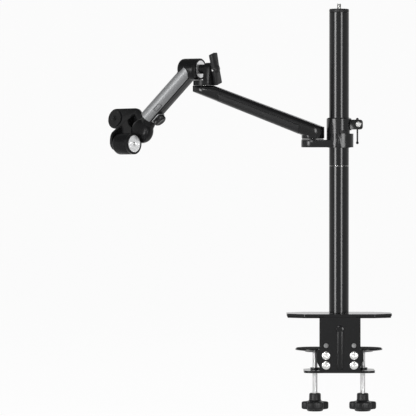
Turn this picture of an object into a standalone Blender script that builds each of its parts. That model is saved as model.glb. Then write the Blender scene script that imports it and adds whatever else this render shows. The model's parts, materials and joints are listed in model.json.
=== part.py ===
"""Jointed overhead arm on a desk clamp, modelled in metres with +Z up.

The origin is on the pole's axis, in the plane of the desk top. +X is to the
right of the front view and -Y points at the viewer. The clamp grips the desk
edge, a split collar slides on the pole, the lower arm turns on the collar's
ear, and the forearm turns and rolls at the elbow.
"""
import math

import bmesh
import bpy
from mathutils import Matrix, Vector

for old in list(bpy.data.objects):
    bpy.data.objects.remove(old, do_unlink=True)

# Shared fits
CLEARANCE = 0.0003
BORE_CLEARANCE = 0.0003

# Top plate and its pad
PAD_THICKNESS = 0.0020
PLATE_THICKNESS = 0.0040
PLATE_HALF_WIDTH = 0.0795
PLATE_CORNER_X = 0.0530
PLATE_DEPTH = 0.0760
PLATE_SHOULDER = 0.0180
PLATE_CORNER_RADIUS = 0.0040
PAD_INSET = 0.0012

# Hanger leg of the top plate
HANGER_THICKNESS = 0.0035
HANGER_HALF_WIDTH = 0.0240
HANGER_LUG_HALF_WIDTH = 0.0355
HANGER_LUG_TOP = 0.0445
HANGER_DEPTH = 0.0785

# Height-adjusting bracket
BRACKET_THICKNESS = 0.0035
BRACKET_HALF_WIDTH = 0.0310
BRACKET_TOP = 0.0015
BRACKET_DROP = 0.0830
BRACKET_BEND_RADIUS = 0.0055
FLANGE_HALF_WIDTH = 0.0538
FLANGE_REAR = 0.0220
FLANGE_CORNER_RADIUS = 0.0120
RIB_HALF_WIDTH = 0.00425
RIB_BULB_RADIUS = 0.0060
RIB_BULB_DROP = 0.0166
RIB_HEIGHT = 0.0022

# Bracket screws
SCREW_SPACING = 0.0420
SPARE_HOLE_DROP = 0.0410
UPPER_SCREW_DROP = 0.0558
LOWER_SCREW_DROP = 0.0704
SPARE_HOLE_RADIUS = 0.0040
SCREW_RADIUS = 0.0030
SCREW_HEAD_RADIUS = 0.0067
SCREW_HEAD_HEIGHT = 0.0034

# Clamp spindles, press discs and star knobs
SPINDLE_X = 0.0363
SPINDLE_RADIUS = 0.0040
SPINDLE_LENGTH = 0.0769
NUT_RADIUS = 0.0053
NUT_COLLAR_RADIUS = 0.0072
NUT_COLLAR_HEIGHT = 0.0030
DISC_DROP = 0.0465
DISC_RADIUS = 0.0300
DISC_RIM_WIDTH = 0.0012
DISC_RIM_HEIGHT = 0.0020
DISC_PAD_THICKNESS = 0.0015
DISC_PAD_PROUD = 0.0010
DISC_HUB_RADIUS = 0.0160
DISC_HUB_HEIGHT = 0.0050
SOCKET_DEPTH = 0.0032
KNOB_NECK_RADIUS = 0.0090
KNOB_NECK_LENGTH = 0.0125
KNOB_BORE_DEPTH = 0.0110
KNOB_HEAD_HEIGHT = 0.0120
KNOB_RADIUS = 0.0177
KNOB_LOBE_HEIGHT = 0.0028
KNOB_LOBES = 6
KNOB_BOSS_HEIGHT = 0.0030

# Pole
POLE_RADIUS = 0.0150
POLE_WALL = 0.0025
POLE_SEAM = 0.2300
POLE_TOP = 0.4630
JOINER_LENGTH = 0.0800
PLUG_LENGTH = 0.0300
CAP_HEIGHT = 0.0050
CAP_SPIGOT = 0.0100
FOOT_BOLT_RADIUS = 0.0050
FOOT_BOLT_HEAD = 0.0090
FOOT_BOLT_LENGTH = 0.0260
STUD_RADIUS = 0.0033
STUD_HEIGHT = 0.0080
STUD_DEPTH = 0.0120

# Split collar on the pole
COLLAR_BOTTOM = 0.2580
COLLAR_HEIGHT = 0.0448
COLLAR_RADIUS = 0.0190
LINER_WALL = 0.0011
LINER_PROUD = 0.0004
RING_HEIGHT = 0.0210
RING_SHIFT = 0.0038
SLOT_WIDTH = 0.0050
SLOT_OVERREACH = 0.0110
SPLIT_WIDTH = 0.0020
LUG_REACH = 0.0358
LUG_HALF_DEPTH = 0.0090
LUG_BOTTOM = 0.2853
LUG_TOP = 0.3002
EAR_X = -0.0400
EAR_RADIUS = 0.0175
EAR_HEIGHT = 0.0116
CLAMP_SCREW_X = 0.0289
CLAMP_SCREW_Z = 0.2930
CLAMP_SCREW_RADIUS = 0.0030
CLAMP_NECK_RADIUS = 0.0042
CLAMP_HEAD_RADIUS = 0.0050
CLAMP_HEAD_LENGTH = 0.0100
CLAMP_NUT_RADIUS = 0.0042
CLAMP_NUT_HEIGHT = 0.0032
TOMMY_Y = 0.0230
TOMMY_RADIUS = 0.0013
TOMMY_BALL_RADIUS = 0.0022
TOMMY_LENGTH = 0.0404
TOMMY_DROP = 0.0099

# Lower arm
ARM_PITCH = 0.1640
ARM_WASHER_THICKNESS = 0.0013
ARM_WASHER_RADIUS = 0.0150
ARM_ROOT_RADIUS = 0.0178
ARM_TIP_RADIUS = 0.0184
ARM_TOP_AT_ROOT = 0.2891
ARM_TOP_SLOPE = 0.3760
ARM_BOTTOM_AT_ROOT = 0.2629
ARM_BOTTOM_SLOPE = 0.3990
ARM_TIP_TOP = 0.3520
ARM_COVER_MARGIN = 0.0040
ARM_FOOT_STEP = 0.0005
ARM_BOSS_STEP = 0.0008
ARM_BOSS_HEIGHT = 0.0113
ARM_ROUNDNESS = 3.4
EAR_BOLT_RADIUS = 0.0050
EAR_BOLT_HEAD_RADIUS = 0.0070
EAR_BOLT_HEAD_HEIGHT = 0.0040
EAR_BOLT_LENGTH = 0.0250

# Elbow
FOREARM_YAW = 33.0
ELBOW_DISC_RADIUS = 0.0175
ELBOW_DISC_HEIGHT = 0.0077
ELBOW_PIN_RADIUS = 0.0040
ELBOW_PIN_LENGTH = 0.0180
ELBOW_PIN_ENGAGEMENT = 0.0060
ELBOW_AXIS_HEIGHT = 0.0250
POST_INNER = 0.0040
POST_THICKNESS = 0.0117
POST_HALF_WIDTH = 0.0130
POST_TOP_RADIUS = 0.0095
SHAFT_RADIUS = 0.0045
SHAFT_NECK_RADIUS = 0.0072
SHAFT_DEPTH = 0.0280
HANDLE_HALF_LENGTH = 0.0240
HANDLE_HALF_WIDTH = 0.0084
HANDLE_THICKNESS = 0.0066
HANDLE_HUB_RADIUS = 0.0074
HANDLE_HUB_PROUD = 0.0022
HANDLE_LEAN = 17.0
HANDLE_PIN_RADIUS = 0.0014

# Barrels at the elbow and at the head
BARREL_RADIUS = 0.0164
BARREL_START = 0.0072
BARREL_LENGTH = 0.0348
BARREL_FILLET = 0.0060
BARREL_GROOVE = 0.0005
BARREL_RIM = 0.0030
FACE_RECESS = 0.0014
FACE_THICKNESS = 0.0010

# Forearm
FOREARM_DIP = 43.0
FOREARM_ROOT = 0.0238
FOREARM_LENGTH = 0.1060
FOREARM_HALF_WIDTH = 0.0175
FOREARM_HALF_HEIGHT = 0.0113
FOREARM_ROUNDNESS = 2.4
SPINE_HALF_WIDTH = 0.0097
SPINE_TOP = 0.0017

# Wrist, with the knuckle's distance from the forearm's end
WRIST_OFFSET = 0.0050
WRIST_ROLL = 13.0
SPIGOT_RADIUS = 0.0047
SPIGOT_LENGTH = 0.0240
NECK_HALF_WIDTH = 0.0140
NECK_HALF_HEIGHT = 0.0106
KNUCKLE_DISTANCE = 0.0260
KNUCKLE_RADIUS = 0.0185
KNUCKLE_BACK = 0.0150
KNUCKLE_FRONT = 0.0020
WRIST_PLATE_MARGIN = 0.0010
WRIST_PLATE_HALF_WIDTH = 0.0090
WRIST_PLATE_THICKNESS = 0.0014
WRIST_KNOB_INSET = 0.0105
WRIST_KNOB_RADIUS = 0.0097
WRIST_KNOB_HEIGHT = 0.0076
WRIST_STUD_RADIUS = 0.0025

# Head and camera bracket, with the head's distance from the forearm's end
HEAD_DISTANCE = 0.0516
HEAD_SIDE = 0.0150
HEAD_RISE = -0.0066
FACE_SCREW_RADIUS = 0.0022
HEAD_PIVOT_RADIUS = 0.0040
HEAD_PIVOT_DEPTH = 0.0150
HEAD_PIVOT_HEAD_RADIUS = 0.0070
HEAD_PIVOT_HEAD_HEIGHT = 0.0030
EAR_PLATE_THICKNESS = 0.0045
EAR_PLATE_RADIUS = 0.0140
BACK_PLATE_THICKNESS = 0.0045
BACK_PLATE_RADIUS = 0.0157
BACK_PLATE_END = 0.0183
BACK_PLATE_RISE = 0.0459
CAMERA_SCREW_SPACING = 0.0400
CAMERA_PAD_THICKNESS = 0.0015
CAMERA_PAD_RADIUS = 0.0130
CAMERA_SCREW_RADIUS = 0.0031
CAMERA_SCREW_PROUD = 0.0055
CAMERA_KNOB_RADIUS = 0.0100
CAMERA_KNOB_HEIGHT = 0.0070

# Finishes as colour, roughness and metallic value
BLACK_PAINT = ((0.022, 0.022, 0.023), 0.42, 0.0)
BLACK_CAST = ((0.030, 0.030, 0.031), 0.50, 0.0)
BLACK_PLASTIC = ((0.035, 0.035, 0.037), 0.55, 0.0)
RUBBER = ((0.018, 0.018, 0.018), 0.85, 0.0)
SILVER = ((0.55, 0.56, 0.57), 0.34, 0.9)
BRIGHT_STEEL = ((0.70, 0.70, 0.69), 0.25, 1.0)

ROUND_STEPS = 32
SMALL_STEPS = 16

FRONT_VIEW = Matrix.Rotation(math.radians(90.0), 4, "X")
REAR_VIEW = Matrix.Rotation(math.radians(-90.0), 4, "X")
ALONG_X = Matrix(((0, 0, 1, 0), (1, 0, 0, 0), (0, 1, 0, 0), (0, 0, 0, 1)))


def shift(x, y, z):
    return Matrix.Translation((x, y, z))


def finish(name, look):
    colour, roughness, metallic = look
    material = bpy.data.materials.new(name)
    material.use_nodes = True
    shader = material.node_tree.nodes["Principled BSDF"]
    shader.inputs["Base Color"].default_value = (*colour, 1.0)
    shader.inputs["Roughness"].default_value = roughness
    shader.inputs["Metallic"].default_value = metallic
    return material


def from_bmesh(name, bm, look, place=None, parent=None, sharp=35.0):
    """Make one named object from a closed bmesh."""
    bmesh.ops.recalc_face_normals(bm, faces=bm.faces)
    mesh = bpy.data.meshes.new(name)
    bm.to_mesh(mesh)
    bm.free()
    mesh.shade_smooth()
    mesh.set_sharp_from_angle(angle=math.radians(sharp))
    obj = bpy.data.objects.new(name, mesh)
    bpy.context.scene.collection.objects.link(obj)
    obj.parent = parent
    if place is not None:
        obj.matrix_basis = place
    if look is None:
        obj.hide_render = True
        obj.display_type = "WIRE"
    else:
        mesh.materials.append(finish(name, look))
    return obj


def turned(name, profile, look, place=None, parent=None, steps=ROUND_STEPS):
    """Turn a profile of (radius, height) points about local Z.

    A profile that starts and ends on the axis is a solid of revolution, and
    any other one is closed on itself and makes a ring.
    """
    bm = bmesh.new()
    points = [bm.verts.new((radius, 0.0, height)) for radius, height in profile]
    edges = [bm.edges.new(pair) for pair in zip(points, points[1:])]
    if profile[0][0] > 0.0:
        edges.append(bm.edges.new((points[-1], points[0])))
    bmesh.ops.spin(bm, geom=points + edges, cent=(0, 0, 0), axis=(0, 0, 1),
                   angle=2.0 * math.pi, steps=steps, use_merge=True)
    bmesh.ops.remove_doubles(bm, verts=bm.verts, dist=1e-6)
    return from_bmesh(name, bm, look, place, parent)


def extruded(name, outline, low, high, look, place=None, parent=None):
    """Extrude a closed outline in local XY from low to high along local Z."""
    bm = bmesh.new()
    base = bm.faces.new([bm.verts.new((x, y, low)) for x, y in outline])
    grown = bmesh.ops.extrude_face_region(bm, geom=[base])
    moved = [item for item in grown["geom"] if isinstance(item, bmesh.types.BMVert)]
    bmesh.ops.translate(bm, verts=moved, vec=(0.0, 0.0, high - low))
    return from_bmesh(name, bm, look, place, parent)


def lofted(name, rings, look, place=None, parent=None):
    """Bridge equal rings of points in order and cap both ends."""
    bm = bmesh.new()
    loops = [[bm.verts.new(point) for point in ring] for ring in rings]
    count = len(loops[0])
    for near, far in zip(loops, loops[1:]):
        for i in range(count):
            j = (i + 1) % count
            bm.faces.new((near[i], near[j], far[j], far[i]))
    bm.faces.new(loops[0])
    bm.faces.new(loops[-1])
    return from_bmesh(name, bm, look, place, parent)


def drills(name, holes, place=None, parent=None, steps=SMALL_STEPS):
    """Make one cutter from straight round holes (x, y, radius, low, high)."""
    bm = bmesh.new()
    for x, y, radius, low, high in holes:
        seat = shift(x, y, (low + high) / 2.0)
        bmesh.ops.create_cone(bm, cap_ends=True, segments=steps, radius1=radius,
                              radius2=radius, depth=high - low, matrix=seat)
    return from_bmesh(name, bm, None, place, parent)


def block(name, low, high, place=None, parent=None):
    """Make a box-shaped cutter between two opposite corners."""
    bm = bmesh.new()
    size = Vector(high) - Vector(low)
    centre = (Vector(high) + Vector(low)) / 2.0
    seat = Matrix.Translation(centre) @ Matrix.Diagonal((*size, 1.0))
    bmesh.ops.create_cube(bm, size=1.0, matrix=seat)
    return from_bmesh(name, bm, None, place, parent)


def combine(obj, other, operation):
    modifier = obj.modifiers.new(other.name, "BOOLEAN")
    modifier.operation = operation
    modifier.solver = "EXACT"
    modifier.object = other
    return obj


def bevel(obj, width, segments=2, angle=40.0):
    modifier = obj.modifiers.new("edge_round", "BEVEL")
    modifier.width = width
    modifier.segments = segments
    modifier.limit_method = "ANGLE"
    modifier.angle_limit = math.radians(angle)
    return obj


def arc(cx, cy, radius, start, end, segments):
    """Points on an arc, with both ends, angles in degrees."""
    points = []
    for i in range(segments + 1):
        angle = math.radians(start + (end - start) * i / segments)
        points.append((cx + radius * math.cos(angle), cy + radius * math.sin(angle)))
    return points


def rounded(corners, segments=5):
    """Closed outline through (x, y, radius) corners, each with its own fillet."""
    outline = []
    for i, (x, y, radius) in enumerate(corners):
        here = Vector((x, y))
        if radius <= 0.0:
            outline.append((x, y))
            continue
        before = (Vector(corners[i - 1][:2]) - here).normalized()
        after = (Vector(corners[(i + 1) % len(corners)][:2]) - here).normalized()
        half = before.angle(after) / 2.0
        centre = here + (before + after).normalized() * (radius / math.sin(half))
        first = here + before * (radius / math.tan(half)) - centre
        last = here + after * (radius / math.tan(half)) - centre
        start = math.degrees(math.atan2(first.y, first.x))
        sweep = math.degrees(math.atan2(last.y, last.x)) - start
        sweep = (sweep + 180.0) % 360.0 - 180.0
        outline += arc(centre.x, centre.y, radius, start, start + sweep, segments)
    return outline


def belt(ax, ay, a_radius, bx, by, b_radius, segments=14):
    """Outline of a belt round two circles."""
    base = math.degrees(math.atan2(by - ay, bx - ax))
    reach = math.hypot(bx - ax, by - ay)
    spread = math.degrees(math.acos((a_radius - b_radius) / reach))
    first = arc(ax, ay, a_radius, base + spread, base + 360.0 - spread, segments)
    return first + arc(bx, by, b_radius, base - spread, base + spread, segments)


def superellipse(half_width, half_height, exponent, count, centre=(0.0, 0.0)):
    """Rounded closed section with count points, from +X towards +Y."""
    points = []
    for i in range(count):
        angle = 2.0 * math.pi * i / count
        c, s = math.cos(angle), math.sin(angle)
        x = math.copysign(abs(c) ** (2.0 / exponent), c)
        y = math.copysign(abs(s) ** (2.0 / exponent), s)
        points.append((centre[0] + half_width * x, centre[1] + half_height * y))
    return points


def mirrored(half):
    """Close a right-hand half outline (top to bottom) by its mirror image."""
    return half + [(-x, y, radius) for x, y, radius in reversed(half)]


# Top plate with its hanger leg
plate_bottom = PAD_THICKNESS + CLEARANCE
plate_top = plate_bottom + PLATE_THICKNESS
plate_front = -PLATE_DEPTH / 2.0
plate_half = [
    (PLATE_CORNER_X, plate_front, PLATE_CORNER_RADIUS),
    (PLATE_HALF_WIDTH, plate_front + PLATE_SHOULDER, PLATE_CORNER_RADIUS),
    (PLATE_HALF_WIDTH, -plate_front - PLATE_SHOULDER, PLATE_CORNER_RADIUS),
    (PLATE_CORNER_X, -plate_front, PLATE_CORNER_RADIUS),
]
base_plate = extruded("base_plate", rounded(mirrored(plate_half)), plate_bottom,
                      plate_top, BLACK_PAINT)
hanger_half = [
    (HANGER_HALF_WIDTH, plate_top - 0.5 * PLATE_THICKNESS, 0.0),
    (HANGER_HALF_WIDTH, -HANGER_LUG_TOP, 0.003),
    (HANGER_LUG_HALF_WIDTH, -HANGER_LUG_TOP - 0.003, 0.006),
    (HANGER_LUG_HALF_WIDTH, -UPPER_SCREW_DROP - 0.009, 0.006),
    (BRACKET_HALF_WIDTH - 0.003, -HANGER_DEPTH, 0.004),
]
hanger_back = plate_front + HANGER_THICKNESS
hanger = extruded("hanger_form", rounded(mirrored(hanger_half)), -hanger_back,
                  -plate_front, None, FRONT_VIEW)
combine(base_plate, hanger, "UNION")

# Screws join the bracket to the hanger in two rows
bracket_back = plate_front - CLEARANCE
bracket_front = bracket_back - BRACKET_THICKNESS
screw_x = SCREW_SPACING / 2.0
screw_places = []
for side in (-1.0, 1.0):
    for row, drop in (("upper", UPPER_SCREW_DROP), ("lower", LOWER_SCREW_DROP)):
        label = "left" if side < 0 else "right"
        screw_places.append((f"bracket_screw_{row}_{label}", side * screw_x, -drop))
screw_holes = [(x, z, SCREW_RADIUS + BORE_CLEARANCE, -hanger_back - 0.002,
                -bracket_front + 0.010) for name, x, z in screw_places]
combine(base_plate, drills("hanger_holes", screw_holes, FRONT_VIEW), "DIFFERENCE")

# The foot bolt is countersunk into the plate's underside
sink = PLATE_THICKNESS * 0.9
bolt_gap = BORE_CLEARANCE
bolt_sink = turned("foot_bolt_sink", [
    (0.0, plate_bottom - 0.002),
    (FOOT_BOLT_HEAD + bolt_gap, plate_bottom - 0.002),
    (FOOT_BOLT_HEAD + bolt_gap, plate_bottom),
    (FOOT_BOLT_RADIUS + bolt_gap, plate_bottom + sink),
    (FOOT_BOLT_RADIUS + bolt_gap, plate_top + 0.002),
    (0.0, plate_top + 0.002)], None)
combine(base_plate, bolt_sink, "DIFFERENCE")

# Pad under the plate, clear of the hanger leg
pad_front = hanger_back + CLEARANCE
pad_half = [
    (PLATE_CORNER_X - PAD_INSET, pad_front, PLATE_CORNER_RADIUS),
    (PLATE_HALF_WIDTH - PAD_INSET, plate_front + PLATE_SHOULDER, PLATE_CORNER_RADIUS),
    (PLATE_HALF_WIDTH - PAD_INSET, -plate_front - PLATE_SHOULDER, PLATE_CORNER_RADIUS),
    (PLATE_CORNER_X - PAD_INSET, -plate_front - PAD_INSET, PLATE_CORNER_RADIUS),
]
base_pad = extruded("base_pad", rounded(mirrored(pad_half)), 0.0, PAD_THICKNESS, RUBBER)

# Bracket folded from one sheet, with a pressed rib down its face
fold = [
    (bracket_front, BRACKET_TOP, 0.0),
    (bracket_front, -BRACKET_DROP, BRACKET_BEND_RADIUS),
    (0.0, -BRACKET_DROP, 0.0),
    (0.0, -BRACKET_DROP + BRACKET_THICKNESS, 0.0),
    (bracket_back, -BRACKET_DROP + BRACKET_THICKNESS,
     max(BRACKET_BEND_RADIUS - BRACKET_THICKNESS, 0.0005)),
    (bracket_back, BRACKET_TOP, 0.0),
]
clamp_bracket = extruded("clamp_bracket", rounded(fold), -BRACKET_HALF_WIDTH,
                         BRACKET_HALF_WIDTH, BLACK_PAINT, ALONG_X)
ear_front = bracket_front + BRACKET_BEND_RADIUS
flange_half = [
    (FLANGE_HALF_WIDTH, FLANGE_REAR, FLANGE_CORNER_RADIUS),
    (FLANGE_HALF_WIDTH, ear_front, FLANGE_CORNER_RADIUS),
]
flange = extruded("flange_form", rounded(mirrored(flange_half)), -BRACKET_DROP,
                  -BRACKET_DROP + BRACKET_THICKNESS, None)
combine(clamp_bracket, flange, "UNION")
rib_outline = rounded([
    (RIB_HALF_WIDTH, -RIB_BULB_DROP, 0.0),
    (-RIB_HALF_WIDTH, -RIB_BULB_DROP, 0.0),
    (-RIB_HALF_WIDTH, -BRACKET_DROP + BRACKET_BEND_RADIUS, 0.002),
    (RIB_HALF_WIDTH, -BRACKET_DROP + BRACKET_BEND_RADIUS, 0.002)], 3)
rib_low = -bracket_front - BRACKET_THICKNESS * 0.4
rib_high = -bracket_front + RIB_HEIGHT
rib = bevel(extruded("rib_form", rib_outline, rib_low, rib_high, None, FRONT_VIEW), 0.0014)
combine(clamp_bracket, rib, "UNION")
bulb = turned("rib_bulb_form", [
    (0.0, rib_low), (RIB_BULB_RADIUS, rib_low), (RIB_BULB_RADIUS, rib_high - 0.0014),
    (RIB_BULB_RADIUS - 0.0005, rib_high - 0.0004), (RIB_BULB_RADIUS - 0.0016, rib_high),
    (0.0, rib_high)], None, shift(0.0, 0.0, -RIB_BULB_DROP) @ FRONT_VIEW, steps=SMALL_STEPS)
combine(clamp_bracket, bulb, "UNION")
spare_holes = [(side * screw_x, -SPARE_HOLE_DROP, SPARE_HOLE_RADIUS,
                -hanger_back - 0.002, -bracket_front + 0.010) for side in (-1.0, 1.0)]
combine(clamp_bracket, drills("bracket_holes", screw_holes + spare_holes, FRONT_VIEW),
        "DIFFERENCE")
spindle_holes = [(side * SPINDLE_X, 0.0, NUT_RADIUS + CLEARANCE, -BRACKET_DROP - 0.002,
                  -BRACKET_DROP + BRACKET_THICKNESS + 0.002) for side in (-1.0, 1.0)]
combine(clamp_bracket, drills("flange_holes", spindle_holes), "DIFFERENCE")

# Button-head screws of the bracket
screw_seat = -bracket_front + CLEARANCE
head_top = screw_seat + SCREW_HEAD_HEIGHT
screw_profile = [(0.0, -hanger_back), (SCREW_RADIUS, -hanger_back),
                 (SCREW_RADIUS, screw_seat), (SCREW_HEAD_RADIUS, screw_seat),
                 (SCREW_HEAD_RADIUS, screw_seat + 0.0010),
                 (SCREW_HEAD_RADIUS * 0.86, screw_seat + SCREW_HEAD_HEIGHT * 0.66),
                 (SCREW_HEAD_RADIUS * 0.55, head_top), (0.0, head_top)]
for name, x, z in screw_places:
    turned(name, screw_profile, BRIGHT_STEEL, shift(x, 0.0, z) @ FRONT_VIEW,
           steps=SMALL_STEPS)

# Press disc, spindle, weld nut and star knob of each clamp screw
flange_top = -BRACKET_DROP + BRACKET_THICKNESS
disc_floor = -DISC_DROP - DISC_PAD_THICKNESS - CLEARANCE
rim_top = -DISC_DROP - DISC_PAD_PROUD
hub_bottom = rim_top - DISC_HUB_HEIGHT
socket_top = hub_bottom + SOCKET_DEPTH
bore = SPINDLE_RADIUS + BORE_CLEARANCE
disc_profile = [
    (0.0, disc_floor), (DISC_RADIUS - DISC_RIM_WIDTH, disc_floor),
    (DISC_RADIUS - DISC_RIM_WIDTH, rim_top), (DISC_RADIUS, rim_top),
    (DISC_RADIUS, rim_top - DISC_RIM_HEIGHT),
    (DISC_HUB_RADIUS, hub_bottom + 0.0010), (DISC_HUB_RADIUS - 0.0010, hub_bottom),
    (bore, hub_bottom), (bore, socket_top), (0.0, socket_top)]
spindle_top = socket_top - CLEARANCE
spindle_bottom = spindle_top - SPINDLE_LENGTH
neck_top = spindle_bottom + KNOB_BORE_DEPTH
head_top_z = neck_top - KNOB_NECK_LENGTH
head_bottom_z = head_top_z - KNOB_HEAD_HEIGHT
boss_radius = KNOB_NECK_RADIUS * 0.8
knob_profile = [
    (0.0, spindle_bottom - CLEARANCE), (bore, spindle_bottom - CLEARANCE),
    (bore, neck_top), (KNOB_NECK_RADIUS - 0.0008, neck_top),
    (KNOB_NECK_RADIUS, neck_top - 0.0010), (KNOB_NECK_RADIUS, head_top_z - 0.0010),
    (boss_radius, head_bottom_z + 0.0010), (boss_radius, head_bottom_z - 0.0015),
    (boss_radius - 0.0015, head_bottom_z - KNOB_BOSS_HEIGHT),
    (0.0, head_bottom_z - KNOB_BOSS_HEIGHT)]
star = []
for i in range(KNOB_LOBES * 6):
    turn = 2.0 * math.pi * i / (KNOB_LOBES * 6)
    radius = KNOB_RADIUS + KNOB_LOBE_HEIGHT * math.cos(KNOB_LOBES * turn)
    star.append((radius * math.cos(turn), radius * math.sin(turn)))
for side, label in ((-1.0, "left"), (1.0, "right")):
    seat = shift(side * SPINDLE_X, 0.0, 0.0)
    turned(f"press_disc_{label}", disc_profile, BLACK_PAINT, seat)
    turned(f"disc_pad_{label}", [
        (0.0, -DISC_DROP - DISC_PAD_THICKNESS),
        (DISC_RADIUS - DISC_RIM_WIDTH - CLEARANCE, -DISC_DROP - DISC_PAD_THICKNESS),
        (DISC_RADIUS - DISC_RIM_WIDTH - CLEARANCE, -DISC_DROP), (0.0, -DISC_DROP)],
        RUBBER, seat)
    turned(f"spindle_nut_{label}", [
        (bore, -BRACKET_DROP), (NUT_RADIUS, -BRACKET_DROP),
        (NUT_RADIUS, flange_top + CLEARANCE), (NUT_COLLAR_RADIUS, flange_top + CLEARANCE),
        (NUT_COLLAR_RADIUS, flange_top + NUT_COLLAR_HEIGHT),
        (bore, flange_top + NUT_COLLAR_HEIGHT)], BLACK_CAST, seat, steps=SMALL_STEPS)
    turned(f"clamp_spindle_{label}", [
        (0.0, spindle_bottom), (SPINDLE_RADIUS - 0.0005, spindle_bottom),
        (SPINDLE_RADIUS, spindle_bottom + 0.0005), (SPINDLE_RADIUS, spindle_top - 0.0005),
        (SPINDLE_RADIUS - 0.0005, spindle_top), (0.0, spindle_top)], BRIGHT_STEEL, seat,
        steps=SMALL_STEPS)
    knob = turned(f"star_knob_{label}", knob_profile, BLACK_PLASTIC, seat,
                  steps=SMALL_STEPS)
    lobes = extruded(f"star_form_{label}", star, head_bottom_z, head_top_z, None, seat)
    combine(knob, bevel(lobes, 0.0016), "UNION")

# Pole in two tubes on a foot plug
tube_bore = POLE_RADIUS - POLE_WALL
plug_radius = tube_bore - CLEARANCE
pole_bottom = plate_top + CLEARANCE
half_gap = CLEARANCE / 2.0


def tube(name, low, high):
    return turned(name, [(tube_bore, low), (POLE_RADIUS, low), (POLE_RADIUS, high),
                         (tube_bore, high)], BLACK_PAINT)


tube("pole_lower", pole_bottom, POLE_SEAM - half_gap)
tube("pole_upper", POLE_SEAM + half_gap, POLE_TOP)
turned("pole_joiner", [
    (0.0, POLE_SEAM - JOINER_LENGTH / 2.0), (plug_radius, POLE_SEAM - JOINER_LENGTH / 2.0),
    (plug_radius, POLE_SEAM + JOINER_LENGTH / 2.0),
    (0.0, POLE_SEAM + JOINER_LENGTH / 2.0)], BRIGHT_STEEL, steps=ROUND_STEPS)
bolt_bore = FOOT_BOLT_RADIUS + BORE_CLEARANCE
bolt_top = plate_bottom + FOOT_BOLT_LENGTH
turned("pole_foot_plug", [
    (0.0, bolt_top + CLEARANCE), (bolt_bore, bolt_top + CLEARANCE),
    (bolt_bore, pole_bottom), (plug_radius, pole_bottom),
    (plug_radius, pole_bottom + PLUG_LENGTH), (0.0, pole_bottom + PLUG_LENGTH)],
    BRIGHT_STEEL)
turned("pole_foot_bolt", [
    (0.0, plate_bottom), (FOOT_BOLT_HEAD, plate_bottom),
    (FOOT_BOLT_RADIUS, plate_bottom + sink), (FOOT_BOLT_RADIUS, bolt_top),
    (0.0, bolt_top)], BRIGHT_STEEL, steps=SMALL_STEPS)

# Cap of the pole with its threaded stud
cap_bottom = POLE_TOP + CLEARANCE
cap_top = cap_bottom + CAP_HEIGHT
stud_bore = STUD_RADIUS + BORE_CLEARANCE
turned("pole_cap", [
    (stud_bore, POLE_TOP - CAP_SPIGOT), (plug_radius, POLE_TOP - CAP_SPIGOT),
    (plug_radius, cap_bottom), (POLE_RADIUS, cap_bottom), (POLE_RADIUS, cap_top - 0.0012),
    (POLE_RADIUS - 0.0012, cap_top), (stud_bore, cap_top)], BLACK_PLASTIC)
turned("top_stud", [
    (0.0, cap_top - STUD_DEPTH), (STUD_RADIUS, cap_top - STUD_DEPTH),
    (STUD_RADIUS, cap_top + STUD_HEIGHT - 0.0006),
    (STUD_RADIUS - 0.0006, cap_top + STUD_HEIGHT), (0.0, cap_top + STUD_HEIGHT)],
    BRIGHT_STEEL, steps=SMALL_STEPS)

# Thin liner between the pole and the collar
collar_top = COLLAR_BOTTOM + COLLAR_HEIGHT
liner_inner = POLE_RADIUS + CLEARANCE
liner_outer = liner_inner + LINER_WALL
collar_bore = liner_outer + CLEARANCE
turned("collar_liner", [
    (liner_inner, COLLAR_BOTTOM - LINER_PROUD), (liner_outer, COLLAR_BOTTOM - LINER_PROUD),
    (liner_outer, collar_top + LINER_PROUD), (liner_inner, collar_top + LINER_PROUD)],
    BLACK_PLASTIC)

# Split collar: whole ring below, clamp band above, ear to the left, lugs to the right
ring_top = COLLAR_BOTTOM + RING_HEIGHT
slot_top = ring_top + SLOT_WIDTH
collar = turned("collar_body", [
    (0.0, COLLAR_BOTTOM), (COLLAR_RADIUS, COLLAR_BOTTOM),
    (COLLAR_RADIUS, collar_top - 0.0014), (COLLAR_RADIUS - 0.0014, collar_top),
    (0.0, collar_top)], BLACK_CAST)
ring_outline = belt(0.0, 0.0, COLLAR_RADIUS + 0.00005, RING_SHIFT, 0.0,
                    COLLAR_RADIUS - 0.0009)
combine(collar, extruded("ring_form", ring_outline, COLLAR_BOTTOM + 0.0002, ring_top,
                         None), "UNION")
ear_top = COLLAR_BOTTOM + EAR_HEIGHT
ear_outline = belt(EAR_X, 0.0, EAR_RADIUS, 0.0, 0.0, COLLAR_RADIUS - 0.003)
combine(collar, bevel(extruded("ear_form", ear_outline, COLLAR_BOTTOM + 0.0001, ear_top,
                               None), 0.0010), "UNION")
lug_outline = rounded([
    (COLLAR_RADIUS - 0.006, LUG_BOTTOM, 0.0), (LUG_REACH, LUG_BOTTOM, 0.004),
    (LUG_REACH, LUG_TOP, 0.004), (COLLAR_RADIUS - 0.006, LUG_TOP, 0.0)])
combine(collar, bevel(extruded("lug_form", lug_outline, -LUG_HALF_DEPTH, LUG_HALF_DEPTH,
                               None, FRONT_VIEW), 0.0008), "UNION")
combine(collar, drills("collar_bore", [(0.0, 0.0, collar_bore, COLLAR_BOTTOM - 0.002,
                                        collar_top + 0.002)], steps=ROUND_STEPS),
        "DIFFERENCE")
slot_reach = COLLAR_RADIUS + SLOT_OVERREACH
combine(collar, block("saw_slot", (0.002, -slot_reach, ring_top + 0.0001),
                      (LUG_REACH + 0.004, slot_reach, slot_top)), "DIFFERENCE")
combine(collar, block("split", (0.010, -SPLIT_WIDTH / 2.0, ring_top + 0.0006),
                      (LUG_REACH + 0.005, SPLIT_WIDTH / 2.0, collar_top + 0.003)),
        "DIFFERENCE")
bolt_head_top = COLLAR_BOTTOM + CLEARANCE + EAR_BOLT_HEAD_HEIGHT
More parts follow.
